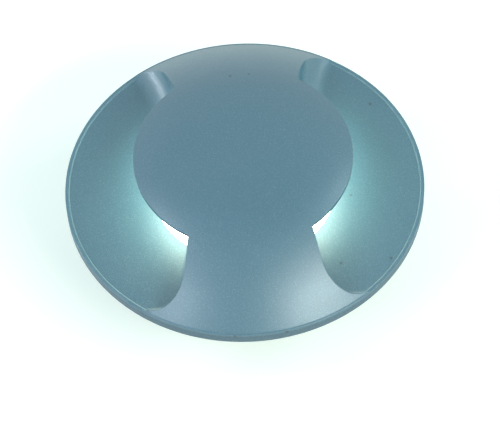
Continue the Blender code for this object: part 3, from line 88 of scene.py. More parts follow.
SCOOP_FAR_RADIUS = 79.0 * MM
FRONT_COVE = (3.4 * MM, 0.5)
BACK_COVE = (10.5 * MM, 0.44)
BACK_WALL_CENTRE = (114.9 * MM, 23.8 * MM)
BACK_WALL_RADIUS = 90.0 * MM
BACK_WALL_START = math.radians(-2)
BACK_WALL_SWEEP = math.radians(35)
BACK_WALL_RUN_OUT = 7
BLANK_TOP_Z = COVER_TOP_Z + 2 * MM
REACH_TOP_Z = COVER_TOP_Z + 4 * MM
WINDOW_OVERLAP = 2 * MM
MIDDLE_REACH = 2 * MM
LIP_RADII = (73.2 * MM, 73.6 * MM)
LIP_TOP_Z = 51.05 * MM
RIM_ROUND = 0.7 * MM
RIM_SQUASH = 0.55
FOOT_BREAK = 0.5 * MM
FOOT_BREAK_MIDDLE = 0.15 * MM
POCKET_RADII = (50.5 * MM, 68.5 * MM)
POCKET_WALL = 3.0 * MM
POCKET_RIB = 1.8 * MM
COVER_SCREW_CIRCLE = 44.9 * MM
COVER_SCREW_ANGLE = math.radians(17)
SCREW_HOLE_RADIUS = 1.8 * MM
COVER_HOLE_TOP_Z = 56.0 * MM
COVER_STEPS = 288
CROWN_STEPS = 18
FLANK_STEPS = 26
RIM_STEPS = 4
UNDERSIDE_STEPS = 8
COVE_STEPS = 16

# Sleeve sizes: the frame's, with rounded edges, tapered ribs and dished knockouts
SLEEVE_INNER_RADIUS = 40.5 * MM
SLEEVE_OUTER_RADIUS = 43.0 * MM
SLEEVE_TOP_Z = 45.7 * MM
SLEEVE_STEP_Z = 42.4 * MM
SLEEVE_REBATE_RADIUS = 48.9 * MM
SLEEVE_COLLAR_RADIUS = 51.5 * MM
SLEEVE_COLLAR_FOOT_Z = 39.6 * MM
SLEEVE_CONE_FOOT_Z = 35.35 * MM
SLEEVE_ROUND = 0.45 * MM
SLEEVE_STEPS = 192
RIB_COUNT = 8
RIB_REACH_RADIUS = 44.4 * MM
RIB_WIDTH = 2.2 * MM
RIB_FOOT_Z = 2.0 * MM
RIB_TOP_Z = 37.4 * MM
RIB_ROUND = 0.35 * MM
RIB_ROOT = 1.2 * MM
RIB_TAPER = (1, 0.68, 0.985)
KNOCKOUT_RADIUS = 8.0 * MM
KNOCKOUT_REACH = 0.8 * MM
KNOCKOUT_Z = 23.0 * MM
KNOCKOUT_ROOT = 1.4 * MM
KNOCKOUT_BREAK = 0.25 * MM
KNOCKOUT_RIM = 1.1 * MM
KNOCKOUT_DISH = 0.35 * MM
KNOCKOUT_DISH_SLOPE = 0.2 * MM

# Housing sizes: the frame's, with rounded edges, draft and tapered fins
HOUSING_RADIUS = 33.0 * MM
POT_RADIUS = 30.5 * MM
POT_FLOOR_Z = 23.0 * MM
POT_FOOT_Z = 20.0 * MM
POT_DRAFT = 0.4 * MM
FLANGE_RADIUS = 48.3 * MM
FLANGE_TOP_Z = 45.7 * MM
FLANGE_BOTTOM_Z = 42.7 * MM
HOUSING_ROUND = 0.5 * MM
FIN_REACH_RADIUS = 36.6 * MM
FIN_WIDTH = 1.3 * MM
FIN_COUNT = 9
FIN_PITCH = math.radians(11)
FIN_FOOT_Z = 22.0 * MM
FIN_TOP_Z = 44.2 * MM
FIN_ROUND = 0.3 * MM
PAD_HALF_WIDTH = 7.0 * MM
PAD_REACH = 33.3 * MM
BOSS_RADIUS = 3.4 * MM
BOSS_CIRCLE = 27.5 * MM
BOSS_FOOT_Z = 37.2 * MM
BOSS_TOP_Z = FLANGE_TOP_Z - 0.05 * MM
BOSS_HOLE_FOOT_Z = 42.2 * MM
GLAND_HOLE = (6.3 * MM, 16.5 * MM)
RIVET_HOLE = (1.2 * MM, 3.4 * MM, 35.1 * MM)
RIVET_HOLE_DEPTH = 4 * MM
FLOOR_HOLES = ((-19.5 * MM, -7.99 * MM), (19.5 * MM, -7.99 * MM), (-18.51 * MM, 11.99 * MM))
FLOOR_HOLE_FOOT_Z = POT_FOOT_Z + 1.5 * MM
HEAD_HOLE_RADIUS = 3.2 * MM
HEAD_HEIGHT = 1.8 * MM


# Modelling helpers

def deselect():
    """Leave nothing selected and no object active."""
    bpy.ops.object.select_all(action="DESELECT")
    bpy.context.view_layer.objects.active = None


def make_active(obj):
    """Leave one object selected and active."""
    deselect()
    obj.select_set(True)
    bpy.context.view_layer.objects.active = obj


def lone_vertex(name, place):
    """Start a new mesh in edit mode as one vertex at a place."""
    deselect()
    bpy.ops.mesh.primitive_plane_add(size=MM)
    obj = bpy.context.object
    obj.name = name
    bpy.ops.object.mode_set(mode="EDIT")
    bpy.ops.mesh.select_mode(type="VERT")
    bpy.ops.mesh.select_all(action="SELECT")
    bpy.ops.mesh.merge(type="CENTER")
    bpy.ops.transform.translate(value=place)
    return obj


def draw_chain(name, points):
    """Draw a chain of edges through points by extruding one vertex along them."""
    obj = lone_vertex(name, points[0])
    for start, end in zip(points, points[1:]):
        step = Vector(end) - Vector(start)
        bpy.ops.mesh.extrude_region_move(TRANSFORM_OT_translate={"value": step})
    return obj


def close_mesh():
    """Merge doubled points, make the faces point out and leave edit mode."""
    bpy.ops.mesh.select_all(action="SELECT")
    bpy.ops.mesh.remove_doubles(threshold=MERGE_DISTANCE)
    bpy.ops.mesh.select_all(action="SELECT")
    bpy.ops.mesh.normals_make_consistent(inside=False)
    bpy.ops.object.mode_set(mode="OBJECT")


def spin_round(name, outline, steps, closed=False):
    """Spin an outline of (radius, height) points about Z into a solid."""
    points = [(radius, 0, height) for radius, height in outline]
    obj = draw_chain(name, points)
    if closed:
        bpy.ops.mesh.select_all(action="SELECT")
        bpy.ops.mesh.edge_face_add()
        bpy.ops.mesh.delete(type="ONLY_FACE")
    bpy.ops.mesh.select_all(action="SELECT")
    bpy.ops.mesh.spin(steps=steps, angle=FULL_TURN, center=(0, 0, 0), axis=(0, 0, 1))
    close_mesh()
    return obj


def prism(name, outline, low, high):
    """Fill an outline of (x, y) points and extrude it upwards."""
    obj = draw_chain(name, [(x, y, low) for x, y in outline])
    bpy.ops.mesh.select_all(action="SELECT")
    bpy.ops.mesh.edge_face_add()
    bpy.ops.mesh.extrude_region_move(TRANSFORM_OT_translate={"value": (0, 0, high - low)})
    close_mesh()
    return obj


def boolean(obj, other, operation="DIFFERENCE"):
    """Apply a Boolean with another object and delete that object."""
    make_active(obj)
    modifier = obj.modifiers.new(other.name, "BOOLEAN")
    modifier.operation = operation
    modifier.solver = "EXACT"
    modifier.object = other
    bpy.ops.object.modifier_apply(modifier=modifier.name)
    bpy.data.objects.remove(other, do_unlink=True)


def shade_round(obj, degrees=MADE_DEGREES):
    """Shade smooth, but for edges sharper than an angle."""
    make_active(obj)
    bpy.ops.object.shade_smooth_by_angle(angle=math.radians(degrees))
    deselect()


def polar(radius, angle):
    """Point of a circle about the origin."""
    return radius * math.cos(angle), radius * math.sin(angle)


def shares(count):
    """Even shares from 0 to 1, both ends included."""
    return [step / count for step in range(count + 1)]


# Cover

def dome_height(radius):
    """Height of the cover's outer surface above its underside: a crown and one curve to the rim."""
    crown_drop = CROWN_HEIGHT - CAP_EDGE_HEIGHT
    if radius <= CAP_RADIUS:
        return CROWN_HEIGHT - crown_drop * (radius / CAP_RADIUS) ** CROWN_POWER
    flank = COVER_RADIUS - CAP_RADIUS
    slope = -CROWN_POWER * crown_drop / CAP_RADIUS
    t = (radius - CAP_RADIUS) / flank
    return (CAP_EDGE_HEIGHT * (2 * t ** 3 - 3 * t ** 2 + 1)
            + slope * flank * (t ** 3 - 2 * t ** 2 + t)
            + RIM_HEIGHT * (3 * t ** 2 - 2 * t ** 3)
            - RIM_SLOPE * flank * (t ** 3 - t ** 2))


def cover_outline():
    """Crown, dome, rounded rim, underside, diffuser seat and post."""
    radii = [CAP_RADIUS * s for s in shares(CROWN_STEPS)]
    edge = COVER_RADIUS - RIM_ROUND
    radii += [CAP_RADIUS + (edge - CAP_RADIUS) * s for s in shares(FLANK_STEPS)[1:]]
    outline = [(radius, COVER_Z + dome_height(radius)) for radius in radii]
    top = COVER_Z + dome_height(edge)
    for s in shares(RIM_STEPS)[1:]:
        across, down = polar(RIM_ROUND, QUARTER_TURN * (1 - s))
        outline.append((edge + across, top - (RIM_ROUND - down) * RIM_SQUASH))
    outline += [(COVER_RADIUS, COVER_Z + FOOT_BREAK),
                (COVER_RADIUS - FOOT_BREAK_MIDDLE, COVER_Z + FOOT_BREAK_MIDDLE),
                (COVER_RADIUS - FOOT_BREAK, COVER_Z)]
    relief = COVER_Z + LAND_HEIGHT
    outline += [(LAND_RADIUS, COVER_Z), (LAND_RADIUS, relief), (SEAT_RADIUS, relief)]
    outline += [(SEAT_RADIUS, SEAT_Z), (WINDOW_RADIUS, SEAT_Z)]
    for s in shares(UNDERSIDE_STEPS):
        radius = WINDOW_RADIUS + (POST_RADIUS - WINDOW_RADIUS) * s
        outline.append((radius, COVER_Z + dome_height(radius) - CAP_THICKNESS))
    return outline + [(POST_RADIUS, POST_END_Z), (0, POST_END_Z)]


def scoop_wall(inset=0.0):
    """Half of a scoop's plan: a leaning side wall, a round corner and a wall out along X."""
    lean = (math.cos(SCOOP_SIDE_ANGLE), math.sin(SCOOP_SIDE_ANGLE))
    slope = lean[1] / lean[0]
    at_centre = SCOOP_SIDE_Y - SCOOP_SIDE_X * slope - inset / lean[0]
    corner = SCOOP_CORNER_RADIUS - inset
    middle_y = SCOOP_HALF_WIDTH - SCOOP_CORNER_RADIUS
    middle_x = (middle_y - at_centre + corner / lean[0]) / slope
    wall = [(SCOOP_NEAR_X, at_centre + slope * SCOOP_NEAR_X)]
    start = QUARTER_TURN + SCOOP_SIDE_ANGLE
    for s in shares(ARC_STEPS):
        x, y = polar(corner, start + (QUARTER_TURN - start) * s)
        wall.append((middle_x + x, middle_y + y))
    return wall + [(SCOOP_FAR_X, middle_y + corner)]


def scoop_outline(side, inset=0.0):
    """Plan of a whole scoop."""
    wall = scoop_wall(inset)
    return [(side * x, y) for x, y in wall] + [(side * x, -y) for x, y in reversed(wall)]


def select_wall_foot(obj, height):
    """Select the edges at the foot of a scoop's walls, and stay in edit mode."""
    bpy.ops.object.mode_set(mode="EDIT")
    bpy.ops.mesh.select_mode(type="EDGE")
    bpy.ops.mesh.select_all(action="DESELECT")
    bpy.ops.object.mode_set(mode="OBJECT")
    verts = obj.data.vertices
    for edge in obj.data.edges:
        a, b = (verts[index].co for index in edge.vertices)
        level = max(abs(a.z - height), abs(b.z - height)) < SAME_PLACE
        far_end = min(abs(a.x), abs(b.x)) > COVER_RADIUS
        middle = abs(a.y - b.y) < SAME_PLACE and abs(a.y) < MIDDLE_REACH
        edge.select = level and not far_end and not middle
    bpy.ops.object.mode_set(mode="EDIT")


def back_wall():
    """Plan of the wall at a scoop's back end, one long curve out to the rim."""
    middle_x, middle_y = BACK_WALL_CENTRE
    wall = []
    for s in shares(ARC_STEPS):
        across, along = polar(BACK_WALL_RADIUS, BACK_WALL_START + BACK_WALL_SWEEP * s)
        wall.append((middle_x - across, middle_y + along))
    (before_x, before_y), (end_x, end_y) = wall[-2:]
    wall.append((end_x + BACK_WALL_RUN_OUT * (end_x - before_x),
                 end_y + BACK_WALL_RUN_OUT * (end_y - before_y)))
    return wall + [(SCOOP_FAR_X, wall[-1][1])]


def scoop_blank(name, side, end, wall, cove):
    """The hollow of one end of a scoop, its foot rounded to the cove."""
    offset, profile = cove
    plan = [(wall[0][0], -MM)] + wall + [(SCOOP_FAR_X, -MM)]
    blank = prism(name, [(side * x, end * y) for x, y in plan], FLOOR_Z, BLANK_TOP_Z)
    make_active(blank)
    select_wall_foot(blank, FLOOR_Z)
    bpy.ops.mesh.bevel(offset=offset, offset_type="OFFSET", segments=COVE_STEPS, profile=profile,
                       affect="EDGES")
    close_mesh()
    return blank


def scoop_reach():
    """Where a scoop may cut: out from the window, under the cap and over the rim's lip."""
    stem = WINDOW_RADIUS - WINDOW_OVERLAP
    foot, lip = LIP_RADII
    outline = [(stem, FLOOR_Z - MM), (foot, FLOOR_Z - MM), (foot, FLOOR_Z), (lip, LIP_TOP_Z)]
    outline += [(SCOOP_FAR_RADIUS, LIP_TOP_Z), (SCOOP_FAR_RADIUS, REACH_TOP_Z)]
    outline += [(CAP_RADIUS, REACH_TOP_Z), (CAP_RADIUS, CAP_UNDERSIDE_Z), (stem, CAP_UNDERSIDE_Z)]
    return spin_round("scoop_reach", outline, COVER_STEPS, closed=True)


def lobe_pockets():
    """Hollows under the two lobes, each split by a rib."""
    near, far = POCKET_RADII
    outline = []
    for s in shares(UNDERSIDE_STEPS):
        radius = near + (far - near) * s
        outline.append((radius, COVER_Z + dome_height(radius) - POCKET_WALL))
    outline += [(far, COVER_Z - MM), (near, COVER_Z - MM)]
    pockets = spin_round("lobe_pockets", outline, COVER_STEPS, closed=True)
    for side in (-1, 1):
        limit = prism("pocket_limit", scoop_outline(side, -POCKET_WALL), BELOW_COVER_Z, COVER_TOP_Z)
        boolean(pockets, limit)
    rib = [(-POCKET_RIB / 2, -COVER_RADIUS), (POCKET_RIB / 2, -COVER_RADIUS),
           (POCKET_RIB / 2, COVER_RADIUS), (-POCKET_RIB / 2, COVER_RADIUS)]
    boolean(pockets, prism("pocket_rib", rib, BELOW_COVER_Z, COVER_TOP_Z))
    return pockets


def rod(name, radius, x, y, low, high):
    """An upright cylinder."""
    deselect()
    bpy.ops.mesh.primitive_cylinder_add(vertices=ROD_STEPS, radius=radius, depth=high - low,
                                        location=(x, y, (low + high) / 2))
    obj = bpy.context.object
    obj.name = name
    bpy.ops.object.transform_apply(location=True, rotation=True, scale=True)
    return obj


def make_cover():
    """The cast cover with two scoops, a lip along the rim, pockets below and screw holes."""
    cover = spin_round("cast_cover", cover_outline(), COVER_STEPS)
    for side, name in ((-1, "scoop_left"), (1, "scoop_right")):
        for end, wall, cove in ((-1, scoop_wall(), FRONT_COVE), (1, back_wall(), BACK_COVE)):
            blank = scoop_blank(name, side, end, wall, cove)
            boolean(blank, scoop_reach(), "INTERSECT")
            boolean(cover, blank)
    boolean(cover, lobe_pockets())
    for middle in (QUARTER_TURN, -QUARTER_TURN):
        for turn in (-COVER_SCREW_ANGLE, COVER_SCREW_ANGLE):
            x, y = polar(COVER_SCREW_CIRCLE, middle + turn)
            boolean(cover, rod("screw_hole", SCREW_HOLE_RADIUS, x, y, COVER_Z - MM, COVER_HOLE_TOP_Z))
    shade_round(cover)
    return cover


# Sleeve

def rounded(before, corner, after, radius):
    """Points that round one corner of an outline."""
    here = Vector(corner)
    back = (Vector(before) - here).normalized()
    on = (Vector(after) - here).normalized()
    return [tuple(here + back * radius * (1 - s) ** 2 + on * radius * s ** 2)
            for s in shares(ROUND_STEPS)]


def round_corners(outline, radius):
    """Round every corner of a closed outline."""
    points = []
    for index, corner in enumerate(outline):
        points += rounded(outline[index - 1], corner, outline[(index + 1) % len(outline)], radius)
    return points


def pick_faces(obj, test):
    """Leave the object in edit mode with only the faces that pass a test selected."""
    make_active(obj)
    bpy.ops.object.mode_set(mode="EDIT")
    bpy.ops.mesh.select_mode(type="FACE")
    bpy.ops.mesh.select_all(action="DESELECT")
    bpy.ops.object.mode_set(mode="OBJECT")
    for face in obj.data.polygons:
        face.select = test(face)
    bpy.ops.object.mode_set(mode="EDIT")


def block(name, low, high):
    """A box between two corners, to be shaped further."""
    deselect()
    middle = (Vector(low) + Vector(high)) / 2
    bpy.ops.mesh.primitive_cube_add(size=1, location=middle, scale=Vector(high) - Vector(low))
    obj = bpy.context.object
    obj.name = name
    bpy.ops.object.transform_apply(location=True, rotation=True, scale=True)
    return obj


def round_edges(obj, radius):
    """Round every edge of a piece."""
    make_active(obj)
    bpy.ops.object.mode_set(mode="EDIT")
    bpy.ops.mesh.select_mode(type="EDGE")
    bpy.ops.mesh.select_all(action="SELECT")
    bpy.ops.mesh.bevel(offset=radius, segments=EDGE_STEPS, affect="EDGES")
    close_mesh()


def upright_rib(name, inner, reach, width, low, high, radius):
    """One upright rib on the +X side, narrower towards its outer face, with round edges."""
    rib = block(name, (inner, -width / 2, low), (reach, width / 2, high))
    pick_faces(rib, lambda face: face.normal.x > FACING)
    bpy.ops.transform.resize(value=RIB_TAPER)
    bpy.ops.object.mode_set(mode="OBJECT")
    round_edges(rib, radius)
    return rib


def turned_copy(obj, angle):
    """A copy with its own mesh, turned about Z."""
    copy = obj.copy()
    copy.data = obj.data.copy()
    bpy.context.scene.collection.objects.link(copy)
    make_active(copy)
    bpy.ops.object.mode_set(mode="EDIT")
    bpy.ops.mesh.select_all(action="SELECT")
    bpy.ops.transform.rotate(value=angle, orient_axis="Z", center_override=(0, 0, 0))
    bpy.ops.object.mode_set(mode="OBJECT")
    return copy


def knockout(side):
    """A round pad for a side cable entry, dished inside its rim."""
    deselect()
    inner = SLEEVE_OUTER_RADIUS - KNOCKOUT_ROOT
    outer = SLEEVE_OUTER_RADIUS + KNOCKOUT_REACH
    bpy.ops.mesh.primitive_cylinder_add(vertices=KNOCKOUT_STEPS, radius=KNOCKOUT_RADIUS,
                                        depth=outer - inner,
                                        location=(side * (outer + inner) / 2, 0, KNOCKOUT_Z),
                                        rotation=(0, QUARTER_TURN, 0))
    pad = bpy.context.object
    pad.name = "knockout"
    bpy.ops.object.transform_apply(location=True, rotation=True, scale=True)
    pick_faces(pad, lambda face: face.normal.x * side > FACING)
    bpy.ops.mesh.bevel(offset=KNOCKOUT_BREAK, segments=EDGE_STEPS, affect="EDGES")
    bpy.ops.mesh.inset(thickness=KNOCKOUT_RIM)
    bpy.ops.mesh.extrude_region_move(TRANSFORM_OT_translate={"value": (-side * KNOCKOUT_DISH, 0, 0)})
    bpy.ops.mesh.inset(thickness=KNOCKOUT_DISH_SLOPE)
    close_mesh()
    return pad


def make_sleeve():
    """The moulded sleeve with a round-edged collar, eight ribs and two knockouts."""
    outline = [(SLEEVE_INNER_RADIUS, 0), (SLEEVE_INNER_RADIUS, SLEEVE_STEP_Z),
               (SLEEVE_REBATE_RADIUS, SLEEVE_STEP_Z), (SLEEVE_REBATE_RADIUS, SLEEVE_TOP_Z),
               (SLEEVE_COLLAR_RADIUS, SLEEVE_TOP_Z), (SLEEVE_COLLAR_RADIUS, SLEEVE_COLLAR_FOOT_Z),
               (SLEEVE_OUTER_RADIUS, SLEEVE_CONE_FOOT_Z), (SLEEVE_OUTER_RADIUS, 0)]
    outline = round_corners(outline, SLEEVE_ROUND)
    sleeve = spin_round("moulded_sleeve", outline, SLEEVE_STEPS, closed=True)
    rib = upright_rib("sleeve_rib", SLEEVE_OUTER_RADIUS - RIB_ROOT, RIB_REACH_RADIUS, RIB_WIDTH,
                      RIB_FOOT_Z, RIB_TOP_Z, RIB_ROUND)
    for index in range(RIB_COUNT):
        boolean(sleeve, turned_copy(rib, FULL_TURN * (index + 0.5) / RIB_COUNT), "UNION")
    bpy.data.objects.remove(rib, do_unlink=True)
    for side in (-1, 1):
        boolean(sleeve, knockout(side), "UNION")
    shade_round(sleeve)
    return sleeve


# Housing

def housing_outline():
    """The pot's outline, from its floor up the inside, over the flange and down the outside."""
    foot = HOUSING_RADIUS - POT_DRAFT
    corners = [(POT_RADIUS, POT_FLOOR_Z), (POT_RADIUS, FLANGE_TOP_Z), (FLANGE_RADIUS, FLANGE_TOP_Z),
               (FLANGE_RADIUS, FLANGE_BOTTOM_Z), (HOUSING_RADIUS, FLANGE_BOTTOM_Z), (foot, POT_FOOT_Z)]
    before = [(0, POT_FLOOR_Z)] + corners[:-1]
    after = corners[1:] + [(0, POT_FOOT_Z)]
    outline = [(0, POT_FLOOR_Z)]
    for previous, corner, following in zip(before, corners, after):
        outline += rounded(previous, corner, following, HOUSING_ROUND)
    return outline + [(0, POT_FOOT_Z)]


def cross_hole(radius, side, y, z):
    """A short cylinder along X for a rivet's hole."""
    deselect()
    bpy.ops.mesh.primitive_cylinder_add(vertices=HOLE_STEPS, radius=radius, depth=RIVET_HOLE_DEPTH,
                                        location=(side * PAD_REACH, y, z), rotation=(0, QUARTER_TURN, 0))
    hole = bpy.context.object
    hole.name = "rivet_hole"
    bpy.ops.object.transform_apply(location=True, rotation=True, scale=True)
    return hole


def head_hole(x, y):
    """A solid to cut a countersunk hole through the flange, wide at the bottom."""
    outline = [(0, FLANGE_TOP_Z + MM), (SCREW_HOLE_RADIUS, FLANGE_TOP_Z + MM),
               (SCREW_HOLE_RADIUS, FLANGE_BOTTOM_Z + HEAD_HEIGHT), (HEAD_HOLE_RADIUS, FLANGE_BOTTOM_Z),
               (HEAD_HOLE_RADIUS, FLANGE_BOTTOM_Z - MM), (0, FLANGE_BOTTOM_Z - MM)]
    hole = spin_round("head_hole", outline, HOLE_STEPS)
    make_active(hole)
    bpy.ops.object.mode_set(mode="EDIT")
    bpy.ops.mesh.select_all(action="SELECT")
    bpy.ops.transform.translate(value=(x, y, 0))
    bpy.ops.object.mode_set(mode="OBJECT")
    return hole


def make_housing():
    """The die-cast pot with its flange, cooling fins, clip pads, bosses and holes."""
    housing = spin_round("cast_housing", housing_outline(), SLEEVE_STEPS)
    root = HOUSING_RADIUS - RIB_ROOT
    fin = upright_rib("cooling_fin", root, FIN_REACH_RADIUS, FIN_WIDTH, FIN_FOOT_Z, FIN_TOP_Z,
                      FIN_ROUND)
    for middle in (QUARTER_TURN, -QUARTER_TURN):
        for index in range(FIN_COUNT):
            angle = middle + (index - (FIN_COUNT - 1) / 2) * FIN_PITCH
            boolean(housing, turned_copy(fin, angle), "UNION")
        y = math.copysign(BOSS_CIRCLE, middle)
        boss = rod("screw_boss", BOSS_RADIUS, 0, y, BOSS_FOOT_Z, BOSS_TOP_Z)
        boolean(housing, boss, "UNION")
        hole = rod("boss_hole", SCREW_HOLE_RADIUS, 0, y, BOSS_HOLE_FOOT_Z, FLANGE_TOP_Z + MM)
        boolean(housing, hole)
        for turn in (-COVER_SCREW_ANGLE, COVER_SCREW_ANGLE):
            boolean(housing, head_hole(*polar(COVER_SCREW_CIRCLE, middle + turn)))
    bpy.data.objects.remove(fin, do_unlink=True)
    radius, across, height = RIVET_HOLE
    for side in (-1, 1):
        low_x, high_x = sorted((side * root, side * PAD_REACH))
        pad = block("clip_pad", (low_x, -PAD_HALF_WIDTH, FIN_FOOT_Z),
                    (high_x, PAD_HALF_WIDTH, FIN_TOP_Z))
        boolean(housing, pad, "UNION")
        for y in (-across, across):
            boolean(housing, cross_hole(radius, side, y, height))
    radius, y = GLAND_HOLE
    boolean(housing, rod("gland_hole", radius, 0, y, POT_FOOT_Z - MM, POT_FLOOR_Z + MM))
    for x, y in FLOOR_HOLES:
        hole = rod("floor_hole", SCREW_HOLE_RADIUS, x, y, FLOOR_HOLE_FOOT_Z, POT_FLOOR_Z + MM)
        boolean(housing, hole)
    shade_round(housing)
    return housing


# Copies of carried-over nodes

def smooth_copy(name):
    """A merged copy of a node of the frame, shaded round, without the node's own properties."""
    node = frame["nodes"][name]
    piece = node.copy()
    piece.data = node.data.copy()
    piece.parent = None
    piece.name = "smooth_" + name
    for key in list(piece.keys()):
        del piece[key]
    bpy.context.scene.collection.objects.link(piece)
    make_active(piece)
    bpy.ops.object.mode_set(mode="EDIT")
    bpy.ops.mesh.select_all(action="SELECT")
    bpy.ops.mesh.remove_doubles(threshold=MERGE_DISTANCE)
    bpy.ops.object.mode_set(mode="OBJECT")
    shade_round(piece, COPY_DEGREES)
    make_active(piece)
    weighted = piece.modifiers.new("weighted_normals", "WEIGHTED_NORMAL")
    weighted.keep_sharp = True
    bpy.ops.object.modifier_apply(modifier=weighted.name)
    deselect()
    return piece


# Materials

class Signal:
    """A shader's output socket that takes part in sums, each of which becomes a Math node."""

    def __init__(self, finish, socket):
        self.finish = finish
        self.socket = socket

    def sum(self, operation, *values, clamp=False):
        node = self.finish.node("ShaderNodeMath", {"operation": operation, "use_clamp": clamp},
                                dict(enumerate(values)))
        return Signal(self.finish, node.outputs[0])

    def __add__(self, other):
        return self.sum("ADD", self, other)

    def __sub__(self, other):
        return self.sum("SUBTRACT", self, other)

    def __rsub__(self, other):
        return self.sum("SUBTRACT", other, self)

    def __mul__(self, other):
        return self.sum("MULTIPLY", self, other)

    def __truediv__(self, other):
        return self.sum("DIVIDE", self, other)

    __radd__ = __add__

    def clamp(self):
        """The same value, held between 0 and 1."""
        return self.sum("ADD", self, 0, clamp=True)


SOCKETS = {"roughness": "Roughness", "specular": "Specular IOR Level", "glow": "Emission Strength"}
BEVEL_SAMPLES = 8
EDGE_SAMPLES = 6
EDGE_GAIN = 7.0


class Finish:
    """One material: a Principled shader and the nodes that drive it."""

    def __init__(self, name, **constants):
        self.material = bpy.data.materials.new(name)
        self.material.use_nodes = True
        self.tree = self.material.node_tree
        self.shader = self.tree.nodes["Principled BSDF"]
        for socket, value in constants.items():
            self.shader.inputs[SOCKETS[socket]].default_value = value

    def node(self, kind, settings=None, sockets=None):
        """Add a node, set it, and link or fill its inputs."""
        node = self.tree.nodes.new(kind)
        for key, value in (settings or {}).items():
            setattr(node, key, value)
        for key, value in (sockets or {}).items():
            if isinstance(value, Signal):
                self.tree.links.new(value.socket, node.inputs[key])
            else:
                node.inputs[key].default_value = value
        return node

    def signal(self, kind, output, settings=None, sockets=None):
        """Add a node and take one of its outputs."""
        return Signal(self, self.node(kind, settings, sockets).outputs[output])

    def place(self):
        """Place in the object's own space."""
        return self.signal("ShaderNodeTexCoord", "Object")

    def noise(self, size, detail=2.0, roughness=0.5):
        """Noise whose blobs are about size across."""
        return self.signal("ShaderNodeTexNoise", "Fac", None,
                           {"Vector": self.place(), "Scale": 1 / size, "Detail": detail,
                            "Roughness": roughness})

    def flakes(self, size):
        """A random level for each cell of about size across."""
        colour = self.signal("ShaderNodeTexVoronoi", "Color", None,
                             {"Vector": self.place(), "Scale": 1 / size})
        return self.signal("ShaderNodeSeparateColor", "Red", None, {"Color": colour})

    def height(self):
        """Height in the object's own space."""
        return self.signal("ShaderNodeSeparateXYZ", "Z", None, {"Vector": self.place()})

    def distance(self, point):
        """Distance from a point."""
        return self.signal("ShaderNodeVectorMath", "Value", {"operation": "DISTANCE"},
                           {0: self.place(), 1: point})

    def mix(self, factor, first, second):
        """The first colour where the factor is 0 and the second where it is 1."""
        return self.signal("ShaderNodeMix", 2, {"data_type": "RGBA"},
                           {0: factor, 6: first, 7: second})

    def edges(self, radius):
        """1 along edges and 0 on flat faces, from how far the rounded normal turns."""
        rounded_normal = self.signal("ShaderNodeBevel", "Normal", {"samples": EDGE_SAMPLES},
                                     {"Radius": radius})
        normal = self.signal("ShaderNodeNewGeometry", "Normal")
        turn = self.signal("ShaderNodeVectorMath", "Value", {"operation": "DOT_PRODUCT"},
                           {0: rounded_normal, 1: normal})
        return ((1 - turn) * EDGE_GAIN).clamp()

    def streaks(self, size, stretch):
        """Noise drawn out along one axis, as brushing or drawing leaves it."""
        place = self.signal("ShaderNodeVectorMath", "Vector", {"operation": "MULTIPLY"},
                            {0: self.place(), 1: stretch})
        return self.signal("ShaderNodeTexNoise", "Fac", None,
                           {"Vector": place, "Scale": 1 / size, "Detail": 3.0, "Roughness": 0.6})

    def drive(self, socket, value):
        """Link a value to one of the shader's inputs."""
        self.tree.links.new(value.socket, self.shader.inputs[socket])

    def relief(self, height, distance, rounding=0.0):
        """Bump from a height, over edges rounded by the Bevel node."""
        sockets = {"Height": height, "Distance": distance, "Strength": 1.0}
        if rounding:
            sockets["Normal"] = self.signal("ShaderNodeBevel", "Normal", {"samples": BEVEL_SAMPLES},
                                            {"Radius": rounding})
        self.drive("Normal", self.signal("ShaderNodeBump", "Normal", None, sockets))


def rgba(red, green, blue):
    """An opaque colour."""
    return (red, green, blue, 1.0)


# Top of the band along the rim, below which the coat is painted darker as shade and made rougher, in
# millimetres
RIM_PAINTED_SHADE_TOP = 50.9

# Small dark pits in the coat: place and radius, both in millimetres
COAT_PITS = (((5.7, 40.3, 73.1), 0.5), ((-2.3, 39.8, 73.4), 0.6), ((56.7, 36.6, 50.6), 0.6),
             ((56.6, -43.1, 50.6), 0.6), ((43.6, -10.1, 50.6), 0.5), ((36.1, -43.5, 50.6), 0.6),
             ((-9.6, -74.4, 50.6), 0.6), ((11.2, -74.2, 50.4), 0.7), ((24.0, -62.0, 57.5), 0.4))


def silver_powder_coat():
    """Fine metallic powder coat: blue-grey pigment, small bright flakes, a few pits, and painted shade
    on the band along the rim.
    """
    finish = Finish("silver_powder_coat", specular=0.95)
    cell = finish.flakes(0.22 * MM)
    flake = (cell * 3 - 2.25).clamp()
    cloud = finish.noise(14 * MM, detail=3)
    grain = finish.noise(0.45 * MM, detail=2)
    pigment = finish.mix(cloud, rgba(0.044, 0.136, 0.186), rgba(0.050, 0.148, 0.201))
    # Painted shade: below the top of the band along the rim the pigment is darker, and the coat rougher
    low = (RIM_PAINTED_SHADE_TOP - finish.height() / MM).clamp()
    pigment = finish.mix(low * 0.9, pigment, rgba(0.030, 0.092, 0.130))
    coat = finish.mix(flake, pigment, rgba(0.16, 0.27, 0.33))
    for place, radius in COAT_PITS:
        pit = (1.5 - finish.distance(Vector(place) * MM) / (radius * MM)).clamp()
        coat = finish.mix(pit * 0.75, coat, rgba(0.020, 0.035, 0.045))
    finish.drive("Base Color", coat)
    finish.drive("Metallic", flake * 0.8)
    finish.drive("Roughness", 0.37 - flake * 0.10 + low * 0.2)
    finish.relief(grain + flake * 0.9, 0.04 * MM, rounding=0.4 * MM)
    return finish.material


def opal_glow():
    """Opal plastic lit from inside."""
    finish = Finish("opal_glow", roughness=0.3, glow=10.2)
    cloud = finish.noise(9 * MM)
    finish.drive("Base Color", finish.mix(cloud, rgba(0.90, 0.97, 0.94), rgba(0.95, 1.0, 0.97)))
    finish.drive("Emission Color", finish.mix(cloud, rgba(0.80, 0.82, 0.61), rgba(0.80, 0.86, 0.65)))
    return finish.material


